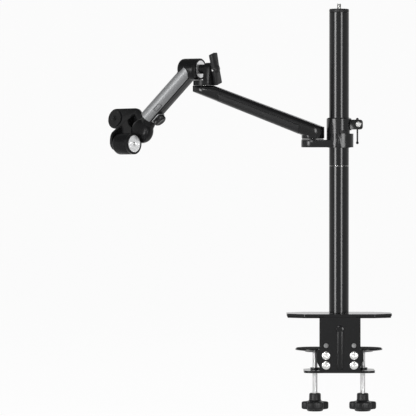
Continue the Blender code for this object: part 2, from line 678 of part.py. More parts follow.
ear_holes = drills("ear_hole", [(EAR_X, 0.0, EAR_BOLT_RADIUS + BORE_CLEARANCE,
                                 COLLAR_BOTTOM - 0.002, ear_top + 0.002)])
combine(collar, ear_holes, "DIFFERENCE")
combine(collar, drills("ear_counterbore", [
    (EAR_X, 0.0, EAR_BOLT_HEAD_RADIUS + BORE_CLEARANCE, COLLAR_BOTTOM - 0.003,
     bolt_head_top + CLEARANCE)]), "DIFFERENCE")
lug_hole = [(CLAMP_SCREW_X, CLAMP_SCREW_Z, CLAMP_SCREW_RADIUS + BORE_CLEARANCE,
             -LUG_HALF_DEPTH - 0.003, LUG_HALF_DEPTH + 0.003)]
combine(collar, drills("lug_hole", lug_hole, FRONT_VIEW), "DIFFERENCE")

# Clamp screw through both lugs, its nut and the sliding bar in its head
screw_seat_y = LUG_HALF_DEPTH + CLEARANCE
nut_front = screw_seat_y + CLAMP_NUT_HEIGHT
head_start = TOMMY_Y - CLAMP_HEAD_LENGTH / 2.0
head_end = TOMMY_Y + CLAMP_HEAD_LENGTH / 2.0
clamp_place = shift(CLAMP_SCREW_X, 0.0, CLAMP_SCREW_Z)
clamp_screw = turned("clamp_screw", [
    (0.0, -nut_front - 0.0005), (CLAMP_SCREW_RADIUS, -nut_front - 0.0005),
    (CLAMP_SCREW_RADIUS, screw_seat_y), (CLAMP_NECK_RADIUS, screw_seat_y),
    (CLAMP_NECK_RADIUS, head_start), (CLAMP_HEAD_RADIUS, head_start),
    (CLAMP_HEAD_RADIUS, head_end - 0.0010), (CLAMP_HEAD_RADIUS - 0.0010, head_end),
    (0.0, head_end)], BRIGHT_STEEL, clamp_place @ REAR_VIEW, steps=SMALL_STEPS)
combine(clamp_screw, drills("cross_hole", [
    (CLAMP_SCREW_X, TOMMY_Y, TOMMY_RADIUS + BORE_CLEARANCE,
     CLAMP_SCREW_Z - CLAMP_HEAD_RADIUS - 0.002, CLAMP_SCREW_Z + CLAMP_HEAD_RADIUS + 0.002)],
    steps=12), "DIFFERENCE")
turned("clamp_nut", [
    (CLAMP_SCREW_RADIUS + CLEARANCE, -nut_front), (CLAMP_NUT_RADIUS - 0.0005, -nut_front),
    (CLAMP_NUT_RADIUS, -nut_front + 0.0005), (CLAMP_NUT_RADIUS, -screw_seat_y),
    (CLAMP_SCREW_RADIUS + CLEARANCE, -screw_seat_y)], BRIGHT_STEEL,
    clamp_place @ REAR_VIEW, steps=SMALL_STEPS)
half_bar = TOMMY_LENGTH / 2.0
ball_low = arc(0.0, -half_bar + TOMMY_BALL_RADIUS, TOMMY_BALL_RADIUS, -90.0, 50.0, 5)
ball_high = arc(0.0, half_bar - TOMMY_BALL_RADIUS, TOMMY_BALL_RADIUS, -50.0, 90.0, 5)
bar_profile = [(0.0, -half_bar)] + ball_low[1:] + [
    (TOMMY_RADIUS, -half_bar + 2.2 * TOMMY_BALL_RADIUS),
    (TOMMY_RADIUS, half_bar - 2.2 * TOMMY_BALL_RADIUS)] + ball_high[:-1] + [(0.0, half_bar)]
turned("tommy_bar", bar_profile, BRIGHT_STEEL,
       shift(CLAMP_SCREW_X, TOMMY_Y, CLAMP_SCREW_Z - TOMMY_DROP), steps=12)

# Washer and shoulder bolt of the ear joint
washer_low = ear_top + CLEARANCE
washer_high = washer_low + ARM_WASHER_THICKNESS
arm_bottom = washer_high + CLEARANCE
ear_bolt_bore = EAR_BOLT_RADIUS + BORE_CLEARANCE
turned("arm_washer", [
    (ear_bolt_bore, washer_low), (ARM_WASHER_RADIUS, washer_low),
    (ARM_WASHER_RADIUS, washer_high), (ear_bolt_bore, washer_high)], BLACK_PLASTIC,
    shift(EAR_X, 0.0, 0.0), steps=28)
ear_bolt_low = COLLAR_BOTTOM + CLEARANCE
ear_bolt_high = ear_bolt_low + EAR_BOLT_LENGTH
turned("ear_pivot_bolt", [
    (0.0, ear_bolt_low), (EAR_BOLT_HEAD_RADIUS, ear_bolt_low),
    (EAR_BOLT_HEAD_RADIUS, bolt_head_top), (EAR_BOLT_RADIUS, bolt_head_top),
    (EAR_BOLT_RADIUS, ear_bolt_high), (0.0, ear_bolt_high)], BRIGHT_STEEL,
    shift(EAR_X, 0.0, 0.0), steps=SMALL_STEPS)

# Lower arm: sections across X follow the plan of two round ends and two slopes
elbow_x = EAR_X - ARM_PITCH
root_end = EAR_X + ARM_ROOT_RADIUS
tip_end = elbow_x - ARM_TIP_RADIUS


def arm_line_top(x):
    return ARM_TOP_AT_ROOT + (root_end - x) * ARM_TOP_SLOPE


def arm_line_bottom(x):
    return ARM_BOTTOM_AT_ROOT + (root_end - x) * ARM_BOTTOM_SLOPE


def arm_half_width(x):
    if x > EAR_X:
        return math.sqrt(max(ARM_ROOT_RADIUS ** 2 - (x - EAR_X) ** 2, 0.0))
    if x < elbow_x:
        return math.sqrt(max(ARM_TIP_RADIUS ** 2 - (x - elbow_x) ** 2, 0.0))
    share = (EAR_X - x) / ARM_PITCH
    return ARM_ROOT_RADIUS + (ARM_TIP_RADIUS - ARM_ROOT_RADIUS) * share


def arm_ring(x, lower_only, count=32):
    """Rounded section at one station, whole or only its lower half."""
    high = min(arm_line_top(x), ARM_TIP_TOP)
    low = max(arm_line_bottom(x), arm_bottom + ARM_FOOT_STEP)
    section = superellipse(arm_half_width(x), (high - low) / 2.0, ARM_ROUNDNESS, count,
                           (0.0, (high + low) / 2.0))
    if lower_only:
        section = section[count // 2:] + section[:1]
    return [(x, y, z) for y, z in section]


def end_stations(centre, radius, start, end, count):
    """Stations round one end, closer together towards its tip."""
    return [centre + radius * math.sin(math.radians(start + (end - start) * i / count))
            for i in range(count + 1)]


cover_right = EAR_X - ARM_ROOT_RADIUS - ARM_COVER_MARGIN
cover_left = elbow_x + ARM_TIP_RADIUS + ARM_COVER_MARGIN * 0.5
stations = end_stations(EAR_X, ARM_ROOT_RADIUS, 83.0, 3.0, 7)
stations += [EAR_X - 0.004, cover_right, (cover_right + cover_left) / 2.0, cover_left]
stations += end_stations(elbow_x, ARM_TIP_RADIUS, 60.0, -83.0, 12)[1:]
lower_arm = lofted("lower_arm", [arm_ring(x, False) for x in stations], BLACK_PAINT)
boss_radius = ARM_ROOT_RADIUS - ARM_BOSS_STEP
root_boss = turned("root_boss_form", [
    (0.0, arm_bottom), (boss_radius - 0.0010, arm_bottom),
    (boss_radius, arm_bottom + 0.0010), (boss_radius, arm_bottom + ARM_BOSS_HEIGHT),
    (0.0, arm_bottom + ARM_BOSS_HEIGHT)], None, shift(EAR_X, 0.0, 0.0))
combine(lower_arm, root_boss, "UNION")


def seam_height(x):
    high = min(arm_line_top(x), ARM_TIP_TOP)
    low = max(arm_line_bottom(x), arm_bottom + ARM_FOOT_STEP)
    return (high + low) / 2.0


pocket_outline = [
    (cover_right + CLEARANCE, seam_height(cover_right) + CLEARANCE),
    (cover_left - CLEARANCE, seam_height(cover_left) + CLEARANCE),
    (cover_left - CLEARANCE, arm_bottom - 0.010), (cover_right + CLEARANCE, arm_bottom - 0.010)]
combine(lower_arm, extruded("cover_pocket", pocket_outline, -0.030, 0.030, None,
                            FRONT_VIEW), "DIFFERENCE")
disc_low = ARM_TIP_TOP + CLEARANCE
disc_high = disc_low + ELBOW_DISC_HEIGHT
pin_high = disc_low + ELBOW_PIN_ENGAGEMENT
pin_low = pin_high - ELBOW_PIN_LENGTH
pin_bore = ELBOW_PIN_RADIUS + BORE_CLEARANCE
combine(lower_arm, drills("arm_pivot_holes", [
    (EAR_X, 0.0, ear_bolt_bore, arm_bottom - 0.004, ear_bolt_high + CLEARANCE),
    (elbow_x, 0.0, pin_bore, pin_low - CLEARANCE, ARM_TIP_TOP + 0.004)]), "DIFFERENCE")
lofted("lower_arm_cover", [arm_ring(x, True) for x in (
    cover_right, cover_right * 0.75 + cover_left * 0.25, (cover_right + cover_left) / 2.0,
    cover_right * 0.25 + cover_left * 0.75, cover_left)], BLACK_PLASTIC)

# The forearm stands in an upright plane through the elbow pin, turned by its yaw
forearm_plane = bpy.data.objects.new("forearm_plane", None)
bpy.context.scene.collection.objects.link(forearm_plane)
forearm_plane.matrix_basis = (shift(elbow_x, 0.0, 0.0)
                              @ Matrix.Rotation(math.radians(180.0 - FOREARM_YAW), 4, "Z"))
axis_z = ARM_TIP_TOP + ELBOW_AXIS_HEIGHT
barrel_line = shift(0.0, 0.0, axis_z) @ ALONG_X

# Elbow block: turntable disc with an upright post
elbow_block = turned("elbow_block", [
    (0.0, disc_low), (ELBOW_DISC_RADIUS, disc_low), (ELBOW_DISC_RADIUS, disc_high - 0.0008),
    (ELBOW_DISC_RADIUS - 0.0008, disc_high), (0.0, disc_high)], BLACK_CAST,
    parent=forearm_plane)
post_outer = POST_INNER + POST_THICKNESS
post_outline = rounded([
    (-POST_HALF_WIDTH, disc_low + 0.002 - axis_z, 0.0),
    (POST_HALF_WIDTH, disc_low + 0.002 - axis_z, 0.0),
    (POST_TOP_RADIUS + 0.0003, POST_TOP_RADIUS, POST_TOP_RADIUS * 0.9),
    (-POST_TOP_RADIUS - 0.0003, POST_TOP_RADIUS, POST_TOP_RADIUS * 0.9)])
post = extruded("post_form", post_outline, -post_outer + 0.0001, -POST_INNER, None,
                barrel_line, forearm_plane)
combine(elbow_block, bevel(post, 0.0010), "UNION")
combine(elbow_block, block("handle_flat", (-0.030, -0.030, disc_low - 0.005),
                           (-post_outer, 0.030, disc_high + 0.005),
                           parent=forearm_plane), "DIFFERENCE")
shaft_bore = SHAFT_RADIUS + BORE_CLEARANCE
combine(elbow_block, drills("shaft_hole", [(0.0, 0.0, shaft_bore, -post_outer - 0.005,
                                            -POST_INNER + 0.005)], barrel_line,
                            forearm_plane), "DIFFERENCE")
combine(elbow_block, drills("disc_pin_hole", [
    (0.0, 0.0, pin_bore, disc_low - 0.004, pin_high + CLEARANCE)], parent=forearm_plane),
    "DIFFERENCE")
turned("elbow_pivot_pin", [
    (0.0, pin_low), (ELBOW_PIN_RADIUS, pin_low), (ELBOW_PIN_RADIUS, pin_high),
    (0.0, pin_high)], BRIGHT_STEEL, parent=forearm_plane, steps=SMALL_STEPS)

# Handle on the shaft, outside the post
handle_start = post_outer + CLEARANCE
handle_end = handle_start + HANDLE_THICKNESS
hub_end = handle_end + HANDLE_HUB_PROUD
shaft_outer = handle_end - 0.0010
elbow_handle = turned("elbow_handle", [
    (0.0, -hub_end), (HANDLE_HUB_RADIUS * 0.6, -hub_end),
    (HANDLE_HUB_RADIUS, -hub_end + HANDLE_HUB_PROUD), (HANDLE_HUB_RADIUS, -handle_start),
    (shaft_bore, -handle_start), (shaft_bore, -shaft_outer - CLEARANCE),
    (0.0, -shaft_outer - CLEARANCE)], BLACK_PLASTIC, barrel_line, forearm_plane,
    steps=SMALL_STEPS)
blade_half = [
    (HANDLE_HALF_WIDTH * 0.92, HANDLE_HALF_LENGTH, 0.0018),
    (HANDLE_HALF_WIDTH * 0.84, 0.004, 0.004),
    (HANDLE_HALF_WIDTH * 0.84, -0.004, 0.004),
    (HANDLE_HALF_WIDTH * 0.92, -HANDLE_HALF_LENGTH, 0.0018),
]
lean = Matrix.Rotation(math.radians(-HANDLE_LEAN), 4, "Z")
blade = extruded("blade_form", rounded(mirrored(blade_half), 3), -handle_end,
                 -handle_start - 0.0001, None, barrel_line @ lean, forearm_plane)
combine(elbow_handle, bevel(blade, 0.0009), "UNION")
combine(elbow_handle, drills("hub_hole", [
    (0.0, 0.0, shaft_bore, -shaft_outer - CLEARANCE, -handle_start + 0.004)], barrel_line,
    forearm_plane), "DIFFERENCE")
pin_seat = shaft_bore + 0.0006
pin_x = -(handle_start + handle_end) / 2.0
pin_line = shift(pin_x, 0.0, axis_z) @ Matrix.Rotation(math.radians(-HANDLE_LEAN), 4, "X")
combine(elbow_handle, drills("pin_hole", [
    (0.0, 0.0, HANDLE_PIN_RADIUS + BORE_CLEARANCE, pin_seat, HANDLE_HALF_WIDTH + 0.004)],
    pin_line @ REAR_VIEW, forearm_plane, steps=12), "DIFFERENCE")
turned("handle_pin", [
    (0.0, pin_seat + CLEARANCE), (HANDLE_PIN_RADIUS, pin_seat + CLEARANCE),
    (HANDLE_PIN_RADIUS, HANDLE_HALF_WIDTH + 0.0002), (0.0, HANDLE_HALF_WIDTH + 0.0002)],
    BRIGHT_STEEL, pin_line @ REAR_VIEW, forearm_plane, steps=12)
turned("elbow_shaft", [
    (0.0, -shaft_outer), (SHAFT_RADIUS, -shaft_outer),
    (SHAFT_RADIUS, -POST_INNER + CLEARANCE), (SHAFT_NECK_RADIUS, -POST_INNER + CLEARANCE),
    (SHAFT_NECK_RADIUS, BARREL_START - CLEARANCE), (SHAFT_RADIUS, BARREL_START - CLEARANCE),
    (SHAFT_RADIUS, BARREL_START + SHAFT_DEPTH), (0.0, BARREL_START + SHAFT_DEPTH)],
    BLACK_CAST, barrel_line, forearm_plane, steps=24)


def barrel_profile(start, bore_radius, bore_depth, blind_at_start):
    """Drum with a rimmed recess at its start and a domed far end."""
    end = start + BARREL_LENGTH
    inner = BARREL_RADIUS - BARREL_RIM
    groove = start + BARREL_LENGTH * 0.16
    dome = arc(BARREL_RADIUS - BARREL_FILLET, end - BARREL_FILLET, BARREL_FILLET, 90.0,
               0.0, 5)
    body = dome + [
        (BARREL_RADIUS, groove + 0.0009), (BARREL_RADIUS - BARREL_GROOVE, groove + 0.0005),
        (BARREL_RADIUS - BARREL_GROOVE, groove - 0.0005), (BARREL_RADIUS, groove - 0.0009),
        (BARREL_RADIUS, start + 0.0006), (BARREL_RADIUS - 0.0006, start),
        (inner, start), (inner, start + FACE_RECESS)]
    if blind_at_start:
        return [(0.0, end)] + body + [
            (bore_radius, start + FACE_RECESS), (bore_radius, start + bore_depth),
            (0.0, start + bore_depth)]
    return [(0.0, end - bore_depth), (bore_radius, end - bore_depth),
            (bore_radius, end)] + body + [(0.0, start + FACE_RECESS)]


def face_disc(name, start, hole, place, parent):
    """Bright disc lying in the recess of a drum."""
    back = start + FACE_RECESS - CLEARANCE
    outer = BARREL_RADIUS - BARREL_RIM - CLEARANCE
    turned(name, [(hole, back - FACE_THICKNESS), (outer - 0.0004, back - FACE_THICKNESS),
                  (outer, back - FACE_THICKNESS + 0.0004), (outer, back), (hole, back)],
           SILVER, place, parent)


# Forearm: black frame with the elbow drum, under a silver shell
forearm_frame = turned("forearm_frame", barrel_profile(
    BARREL_START, shaft_bore, SHAFT_DEPTH + CLEARANCE, True), BLACK_CAST, barrel_line,
    forearm_plane)
face_disc("elbow_face_disc", BARREL_START, shaft_bore, barrel_line, forearm_plane)
dip = math.radians(FOREARM_DIP)
tube_axes = Matrix(((0.0, math.sin(dip), math.cos(dip), FOREARM_ROOT),
                    (1.0, 0.0, 0.0, 0.0),
                    (0.0, math.cos(dip), -math.sin(dip), axis_z),
                    (0.0, 0.0, 0.0, 1.0)))
tube_line = bpy.data.objects.new("forearm_line", None)
bpy.context.scene.collection.objects.link(tube_line)
tube_line.parent = forearm_plane
tube_line.matrix_basis = tube_axes
spine_bottom = -FOREARM_HALF_HEIGHT
spine_outline = rounded([
    (-SPINE_HALF_WIDTH, SPINE_TOP, 0.0), (-SPINE_HALF_WIDTH, spine_bottom + 0.0007, 0.0016),
    (0.0, spine_bottom, 0.0), (SPINE_HALF_WIDTH, spine_bottom + 0.0007, 0.0016),
    (SPINE_HALF_WIDTH, SPINE_TOP, 0.0)], 3)
spine = extruded("spine_form", spine_outline, BARREL_RADIUS * 0.6, FOREARM_LENGTH, None,
                 parent=tube_line)
combine(forearm_frame, spine, "UNION")
combine(forearm_frame, drills("inner_shaft_hole", [
    (0.0, 0.0, shaft_bore, BARREL_START + FACE_RECESS,
     BARREL_START + SHAFT_DEPTH + CLEARANCE)], barrel_line, forearm_plane), "DIFFERENCE")
spigot_bore = SPIGOT_RADIUS + BORE_CLEARANCE
combine(forearm_frame, drills("spigot_hole", [
    (0.0, -WRIST_OFFSET, spigot_bore, FOREARM_LENGTH - SPIGOT_LENGTH - CLEARANCE,
     FOREARM_LENGTH + 0.003)], parent=tube_line), "DIFFERENCE")
knob_position = FOREARM_LENGTH - WRIST_KNOB_INSET
stud_line = shift(0.0, 0.0, knob_position) @ FRONT_VIEW
combine(forearm_frame, drills("wrist_stud_hole", [
    (0.0, 0.0, WRIST_STUD_RADIUS + BORE_CLEARANCE, WRIST_OFFSET + 0.001,
     FOREARM_HALF_HEIGHT + 0.004)], stud_line, tube_line, steps=12), "DIFFERENCE")

shell_outline = superellipse(FOREARM_HALF_WIDTH, FOREARM_HALF_HEIGHT, FOREARM_ROUNDNESS, 40)
shell = extruded("forearm_shell", shell_outline, 0.0, FOREARM_LENGTH, SILVER,
                 parent=tube_line)
end_radius = FOREARM_HALF_HEIGHT + 0.0006
end_outline = arc(end_radius, 0.0, end_radius, 90.0, 270.0, 14)
end_outline += [(FOREARM_LENGTH + 0.010, -end_radius), (FOREARM_LENGTH + 0.010, end_radius)]
side_view = Matrix(((0, 0, 1, 0), (0, -1, 0, 0), (1, 0, 0, 0), (0, 0, 0, 1)))
cut_reach = FOREARM_HALF_WIDTH * 1.6
combine(shell, extruded("shell_end_form", end_outline, -cut_reach, cut_reach, None, side_view,
                        tube_line), "INTERSECT")
channel = rounded([
    (-SPINE_HALF_WIDTH - CLEARANCE, SPINE_TOP + CLEARANCE, 0.0),
    (SPINE_HALF_WIDTH + CLEARANCE, SPINE_TOP + CLEARANCE, 0.0),
    (SPINE_HALF_WIDTH + CLEARANCE, spine_bottom - 0.006, 0.0),
    (-SPINE_HALF_WIDTH - CLEARANCE, spine_bottom - 0.006, 0.0)])
combine(shell, extruded("channel_form", channel, -0.030, FOREARM_LENGTH + 0.006, None,
                        parent=tube_line), "DIFFERENCE")
drum_room = turned("drum_room", [
    (0.0, BARREL_START - 0.030), (BARREL_RADIUS + CLEARANCE, BARREL_START - 0.030),
    (BARREL_RADIUS + CLEARANCE, BARREL_START + BARREL_LENGTH + CLEARANCE),
    (0.0, BARREL_START + BARREL_LENGTH + CLEARANCE)], None, barrel_line, forearm_plane,
    steps=48)
combine(shell, drum_room, "DIFFERENCE")

# Wrist: bright strip and knob under the forearm
strip_low = -FOREARM_HALF_HEIGHT - CLEARANCE
strip_line = Matrix(((1, 0, 0, 0), (0, 0, -1, 0), (0, 1, 0, knob_position),
                     (0, 0, 0, 1)))
strip_reach = WRIST_KNOB_INSET - WRIST_PLATE_MARGIN
strip_half = [(WRIST_PLATE_HALF_WIDTH, -strip_reach, 0.004),
              (WRIST_PLATE_HALF_WIDTH, strip_reach, 0.004)]
strip = extruded("wrist_strip", rounded(mirrored(strip_half)), -strip_low,
                 -strip_low + WRIST_PLATE_THICKNESS, SILVER, strip_line, tube_line)
combine(strip, drills("strip_hole", [
    (0.0, 0.0, WRIST_STUD_RADIUS + BORE_CLEARANCE, 0.004, 0.030)], strip_line, tube_line,
    steps=12), "DIFFERENCE")
wrist_knob_low = -strip_low + WRIST_PLATE_THICKNESS + CLEARANCE
wrist_knob_high = wrist_knob_low + WRIST_KNOB_HEIGHT
turned("wrist_knob", [
    (0.0, WRIST_OFFSET + SPIGOT_RADIUS + CLEARANCE),
    (WRIST_STUD_RADIUS, WRIST_OFFSET + SPIGOT_RADIUS + CLEARANCE),
    (WRIST_STUD_RADIUS, wrist_knob_low), (WRIST_KNOB_RADIUS - 0.0008, wrist_knob_low),
    (WRIST_KNOB_RADIUS, wrist_knob_low + 0.0012),
    (WRIST_KNOB_RADIUS, wrist_knob_high - 0.0022),
    (WRIST_KNOB_RADIUS - 0.0022, wrist_knob_high), (0.0, wrist_knob_high)],
    BLACK_PLASTIC, strip_line, tube_line, steps=24)

# Knuckle: spigot, tapering neck, domed drum and the head drum in one casting
wrist_line = bpy.data.objects.new("wrist_line", None)
bpy.context.scene.collection.objects.link(wrist_line)
wrist_line.parent = tube_line
wrist_line.matrix_basis = (shift(0.0, -WRIST_OFFSET, 0.0)
                           @ Matrix.Rotation(math.radians(WRIST_ROLL), 4, "Z"))
neck_start = FOREARM_LENGTH + CLEARANCE
knuckle_place = FOREARM_LENGTH + KNUCKLE_DISTANCE
head_place = FOREARM_LENGTH + HEAD_DISTANCE
knuckle_line = shift(0.0, 0.0, knuckle_place) @ ALONG_X
dome = []
for i in range(11):
    turn = math.radians(-90.0 + 180.0 * i / 10)
    reach = KNUCKLE_BACK if turn < 0.0 else KNUCKLE_FRONT + 0.006
    height = math.copysign(abs(math.sin(turn)) ** 0.7, turn)
    dome.append((KNUCKLE_RADIUS * abs(math.cos(turn)) ** 0.55, reach * height))
dome[0] = (0.0, dome[0][1])
dome[-1] = (0.0, dome[-1][1])
knuckle = turned("wrist_knuckle", dome, BLACK_CAST, knuckle_line, wrist_line)
neck_rings = []
neck_end = knuckle_place - 0.004
for share in (0.0, 0.35, 0.7, 1.0):
    middle = (-0.0065 * share, WRIST_OFFSET * (1.0 - share))
    ring = superellipse(NECK_HALF_WIDTH - 0.0060 * share, NECK_HALF_HEIGHT + 0.0012 * share,
                        FOREARM_ROUNDNESS, 24, middle)
    neck_rings.append([(x, y, neck_start + (neck_end - neck_start) * share)
                       for x, y in ring])
neck = lofted("neck_form", neck_rings, None, parent=wrist_line)
combine(knuckle, neck, "UNION")
spigot_low = FOREARM_LENGTH - SPIGOT_LENGTH
spigot = turned("spigot_form", [
    (0.0, spigot_low), (SPIGOT_RADIUS, spigot_low), (SPIGOT_RADIUS, neck_start + 0.006),
    (0.0, neck_start + 0.006)], None, parent=wrist_line, steps=SMALL_STEPS)
combine(knuckle, spigot, "UNION")
head_line = bpy.data.objects.new("head_line", None)
bpy.context.scene.collection.objects.link(head_line)
head_line.parent = wrist_line
head_line.matrix_basis = Matrix((
    (0.0, 1.0, 0.0, HEAD_SIDE),
    (math.sin(dip), 0.0, math.cos(dip), HEAD_RISE),
    (math.cos(dip), 0.0, -math.sin(dip), head_place),
    (0.0, 0.0, 0.0, 1.0)))
head_start = -BARREL_LENGTH / 2.0
head_end = BARREL_LENGTH / 2.0
pivot_bore = HEAD_PIVOT_RADIUS + BORE_CLEARANCE
face_room = turned("face_room", [
    (0.0, head_start + FACE_RECESS), (BARREL_RADIUS - BARREL_RIM, head_start + FACE_RECESS),
    (BARREL_RADIUS - BARREL_RIM, head_start), (BARREL_RADIUS + 0.0010, head_start),
    (BARREL_RADIUS + 0.0010, head_start - 0.030), (0.0, head_start - 0.030)], None, ALONG_X,
    head_line)
combine(knuckle, face_room, "DIFFERENCE")
head_drum = turned("head_drum_form", barrel_profile(
    head_start, pivot_bore, HEAD_PIVOT_DEPTH, False), None, ALONG_X, head_line)
combine(knuckle, head_drum, "UNION")
combine(knuckle, drills("pivot_hole", [
    (0.0, 0.0, pivot_bore, head_end - HEAD_PIVOT_DEPTH, head_end + 0.003)], ALONG_X,
    head_line), "DIFFERENCE")
screw_hole = FACE_SCREW_RADIUS + BORE_CLEARANCE
combine(knuckle, drills("face_screw_hole", [
    (0.0, 0.0, screw_hole, head_start - 0.003, head_start + 0.008)], ALONG_X, head_line),
    "DIFFERENCE")
face_disc("head_face_disc", head_start, screw_hole, ALONG_X, head_line)
face_front = head_start + FACE_RECESS - CLEARANCE - FACE_THICKNESS
turned("head_face_screw", [
    (0.0, face_front - 0.0004), (FACE_SCREW_RADIUS - 0.0003, face_front - 0.0004),
    (FACE_SCREW_RADIUS, face_front), (FACE_SCREW_RADIUS, head_start + 0.0075),
    (0.0, head_start + 0.0075)], BRIGHT_STEEL, ALONG_X, head_line, steps=16)

# Camera bracket: ear on the drum's far end, bent back into an upright plate
ear_near = head_end + CLEARANCE
ear_far = ear_near + EAR_PLATE_THICKNESS
back_near = HEAD_SIDE + KNUCKLE_BACK + 2.0 * CLEARANCE
back_far = back_near + BACK_PLATE_THICKNESS
plate_low = BACK_PLATE_RISE - BACK_PLATE_RADIUS
ear_plate = rounded([
    (EAR_PLATE_RADIUS, -EAR_PLATE_RADIUS, EAR_PLATE_RADIUS * 0.98),
    (EAR_PLATE_RADIUS, EAR_PLATE_RADIUS, EAR_PLATE_RADIUS * 0.98),
    (-back_near * 0.5, plate_low + 0.010, 0.006),
    (-back_far + 0.0001, BACK_PLATE_RISE + BACK_PLATE_RADIUS * 0.6, 0.0),
    (-back_far + 0.0001, -EAR_PLATE_RADIUS * 0.2, 0.010)])
camera_bracket = extruded("camera_bracket", ear_plate, ear_near, ear_far, BLACK_PAINT,
                          ALONG_X, head_line)
screw_spot = BACK_PLATE_END + CAMERA_SCREW_SPACING
plate_outline = belt(BACK_PLATE_END, BACK_PLATE_RISE, BACK_PLATE_RADIUS, screw_spot,
                     BACK_PLATE_RISE, BACK_PLATE_RADIUS)
plate = bevel(extruded("back_plate_form", plate_outline, back_near, back_far, None,
                       FRONT_VIEW, head_line), 0.0008)
combine(camera_bracket, plate, "UNION")
combine(camera_bracket, drills("bracket_pivot_hole", [
    (0.0, 0.0, pivot_bore, ear_near - 0.003, ear_far + 0.003)], ALONG_X, head_line),
    "DIFFERENCE")
camera_bore = CAMERA_SCREW_RADIUS + BORE_CLEARANCE
combine(camera_bracket, drills("camera_screw_hole", [
    (screw_spot, BACK_PLATE_RISE, camera_bore, back_near - 0.004, back_far + 0.004)],
    FRONT_VIEW, head_line), "DIFFERENCE")
pivot_head = ear_far + CLEARANCE
turned("head_pivot_bolt", [
    (0.0, head_end - HEAD_PIVOT_DEPTH + CLEARANCE),
    (HEAD_PIVOT_RADIUS, head_end - HEAD_PIVOT_DEPTH + CLEARANCE),
    (HEAD_PIVOT_RADIUS, pivot_head), (HEAD_PIVOT_HEAD_RADIUS, pivot_head),
    (HEAD_PIVOT_HEAD_RADIUS, pivot_head + HEAD_PIVOT_HEAD_HEIGHT - 0.0008),
    (HEAD_PIVOT_HEAD_RADIUS - 0.0008, pivot_head + HEAD_PIVOT_HEAD_HEIGHT),
    (0.0, pivot_head + HEAD_PIVOT_HEAD_HEIGHT)], BRIGHT_STEEL, ALONG_X, head_line,
    steps=SMALL_STEPS)
camera_line = shift(screw_spot, -back_near, BACK_PLATE_RISE) @ REAR_VIEW
pad_low = CLEARANCE
pad_high = pad_low + CAMERA_PAD_THICKNESS
turned("camera_pad", [
    (camera_bore, pad_low), (CAMERA_PAD_RADIUS, pad_low), (CAMERA_PAD_RADIUS, pad_high),
    (camera_bore, pad_high)], RUBBER, camera_line, head_line, steps=28)
knob_high = -BACK_PLATE_THICKNESS - CLEARANCE
knob_low = knob_high - CAMERA_KNOB_HEIGHT
turned("camera_screw", [
    (0.0, knob_low), (CAMERA_KNOB_RADIUS - 0.0010, knob_low),
    (CAMERA_KNOB_RADIUS, knob_low + 0.0010), (CAMERA_KNOB_RADIUS, knob_high - 0.0010),
    (CAMERA_KNOB_RADIUS - 0.0010, knob_high), (CAMERA_SCREW_RADIUS, knob_high),
    (CAMERA_SCREW_RADIUS, pad_high + CAMERA_SCREW_PROUD - 0.0006),
    (CAMERA_SCREW_RADIUS - 0.0006, pad_high + CAMERA_SCREW_PROUD),
    (0.0, pad_high + CAMERA_SCREW_PROUD)], BRIGHT_STEEL, camera_line, head_line, steps=24)

bpy.context.view_layer.update()
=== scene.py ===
import json
import math
import bpy
import bmesh
from mathutils import Matrix, Vector


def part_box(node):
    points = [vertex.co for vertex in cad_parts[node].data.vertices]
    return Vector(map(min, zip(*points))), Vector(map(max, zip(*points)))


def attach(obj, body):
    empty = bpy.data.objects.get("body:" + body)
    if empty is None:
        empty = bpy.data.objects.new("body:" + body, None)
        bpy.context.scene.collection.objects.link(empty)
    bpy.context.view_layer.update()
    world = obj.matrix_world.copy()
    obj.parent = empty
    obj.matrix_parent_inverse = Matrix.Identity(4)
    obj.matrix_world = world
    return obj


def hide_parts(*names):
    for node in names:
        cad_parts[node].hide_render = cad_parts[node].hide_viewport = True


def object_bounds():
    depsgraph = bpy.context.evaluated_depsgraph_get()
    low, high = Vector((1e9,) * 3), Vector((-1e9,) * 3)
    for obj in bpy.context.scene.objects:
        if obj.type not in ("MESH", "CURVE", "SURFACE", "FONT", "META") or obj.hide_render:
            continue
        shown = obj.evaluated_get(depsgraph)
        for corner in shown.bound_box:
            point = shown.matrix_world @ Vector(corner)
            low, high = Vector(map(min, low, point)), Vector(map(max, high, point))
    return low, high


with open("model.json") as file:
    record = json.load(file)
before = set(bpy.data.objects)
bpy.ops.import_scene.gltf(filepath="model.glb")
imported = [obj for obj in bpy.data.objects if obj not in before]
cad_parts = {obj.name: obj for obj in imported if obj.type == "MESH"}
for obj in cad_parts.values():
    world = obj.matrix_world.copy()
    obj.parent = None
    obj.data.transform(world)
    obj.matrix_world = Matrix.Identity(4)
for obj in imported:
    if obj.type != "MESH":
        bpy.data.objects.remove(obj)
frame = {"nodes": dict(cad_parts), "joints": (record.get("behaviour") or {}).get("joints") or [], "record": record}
cad_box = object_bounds()
nodes = frame["nodes"]
joints = {joint["name"]: joint for joint in frame["joints"]}

# Lengths are in metres and angles in degrees
UP = Vector((0.0, 0.0, 1.0))
RIGHT = Vector((1.0, 0.0, 0.0))
TOWARDS_VIEWER = Vector((0.0, -1.0, 0.0))


# Places taken from the joints and the CAD nodes, so that every detail follows the model
def axis_of(name):
    return Vector(joints[name]["axis"]).normalized()


def place_of(name):
    return Vector(joints[name]["pos_m"])


def frame_at(origin, z_axis, x_hint):
    """Matrix with local Z along z_axis and local X near x_hint."""
    z = z_axis.normalized()
    x = (x_hint - z * x_hint.dot(z)).normalized()
    y = z.cross(x)
    turn = Matrix((x, y, z)).transposed()
    return Matrix.Translation(origin) @ turn.to_4x4()


def upright(name):
    """Place, foot and head of a CAD node that stands along Z."""
    low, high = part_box(name)
    middle = ((low[0] + high[0]) / 2.0, (low[1] + high[1]) / 2.0)
    return Matrix.Translation((middle[0], middle[1], 0.0)), low[2], high[2]


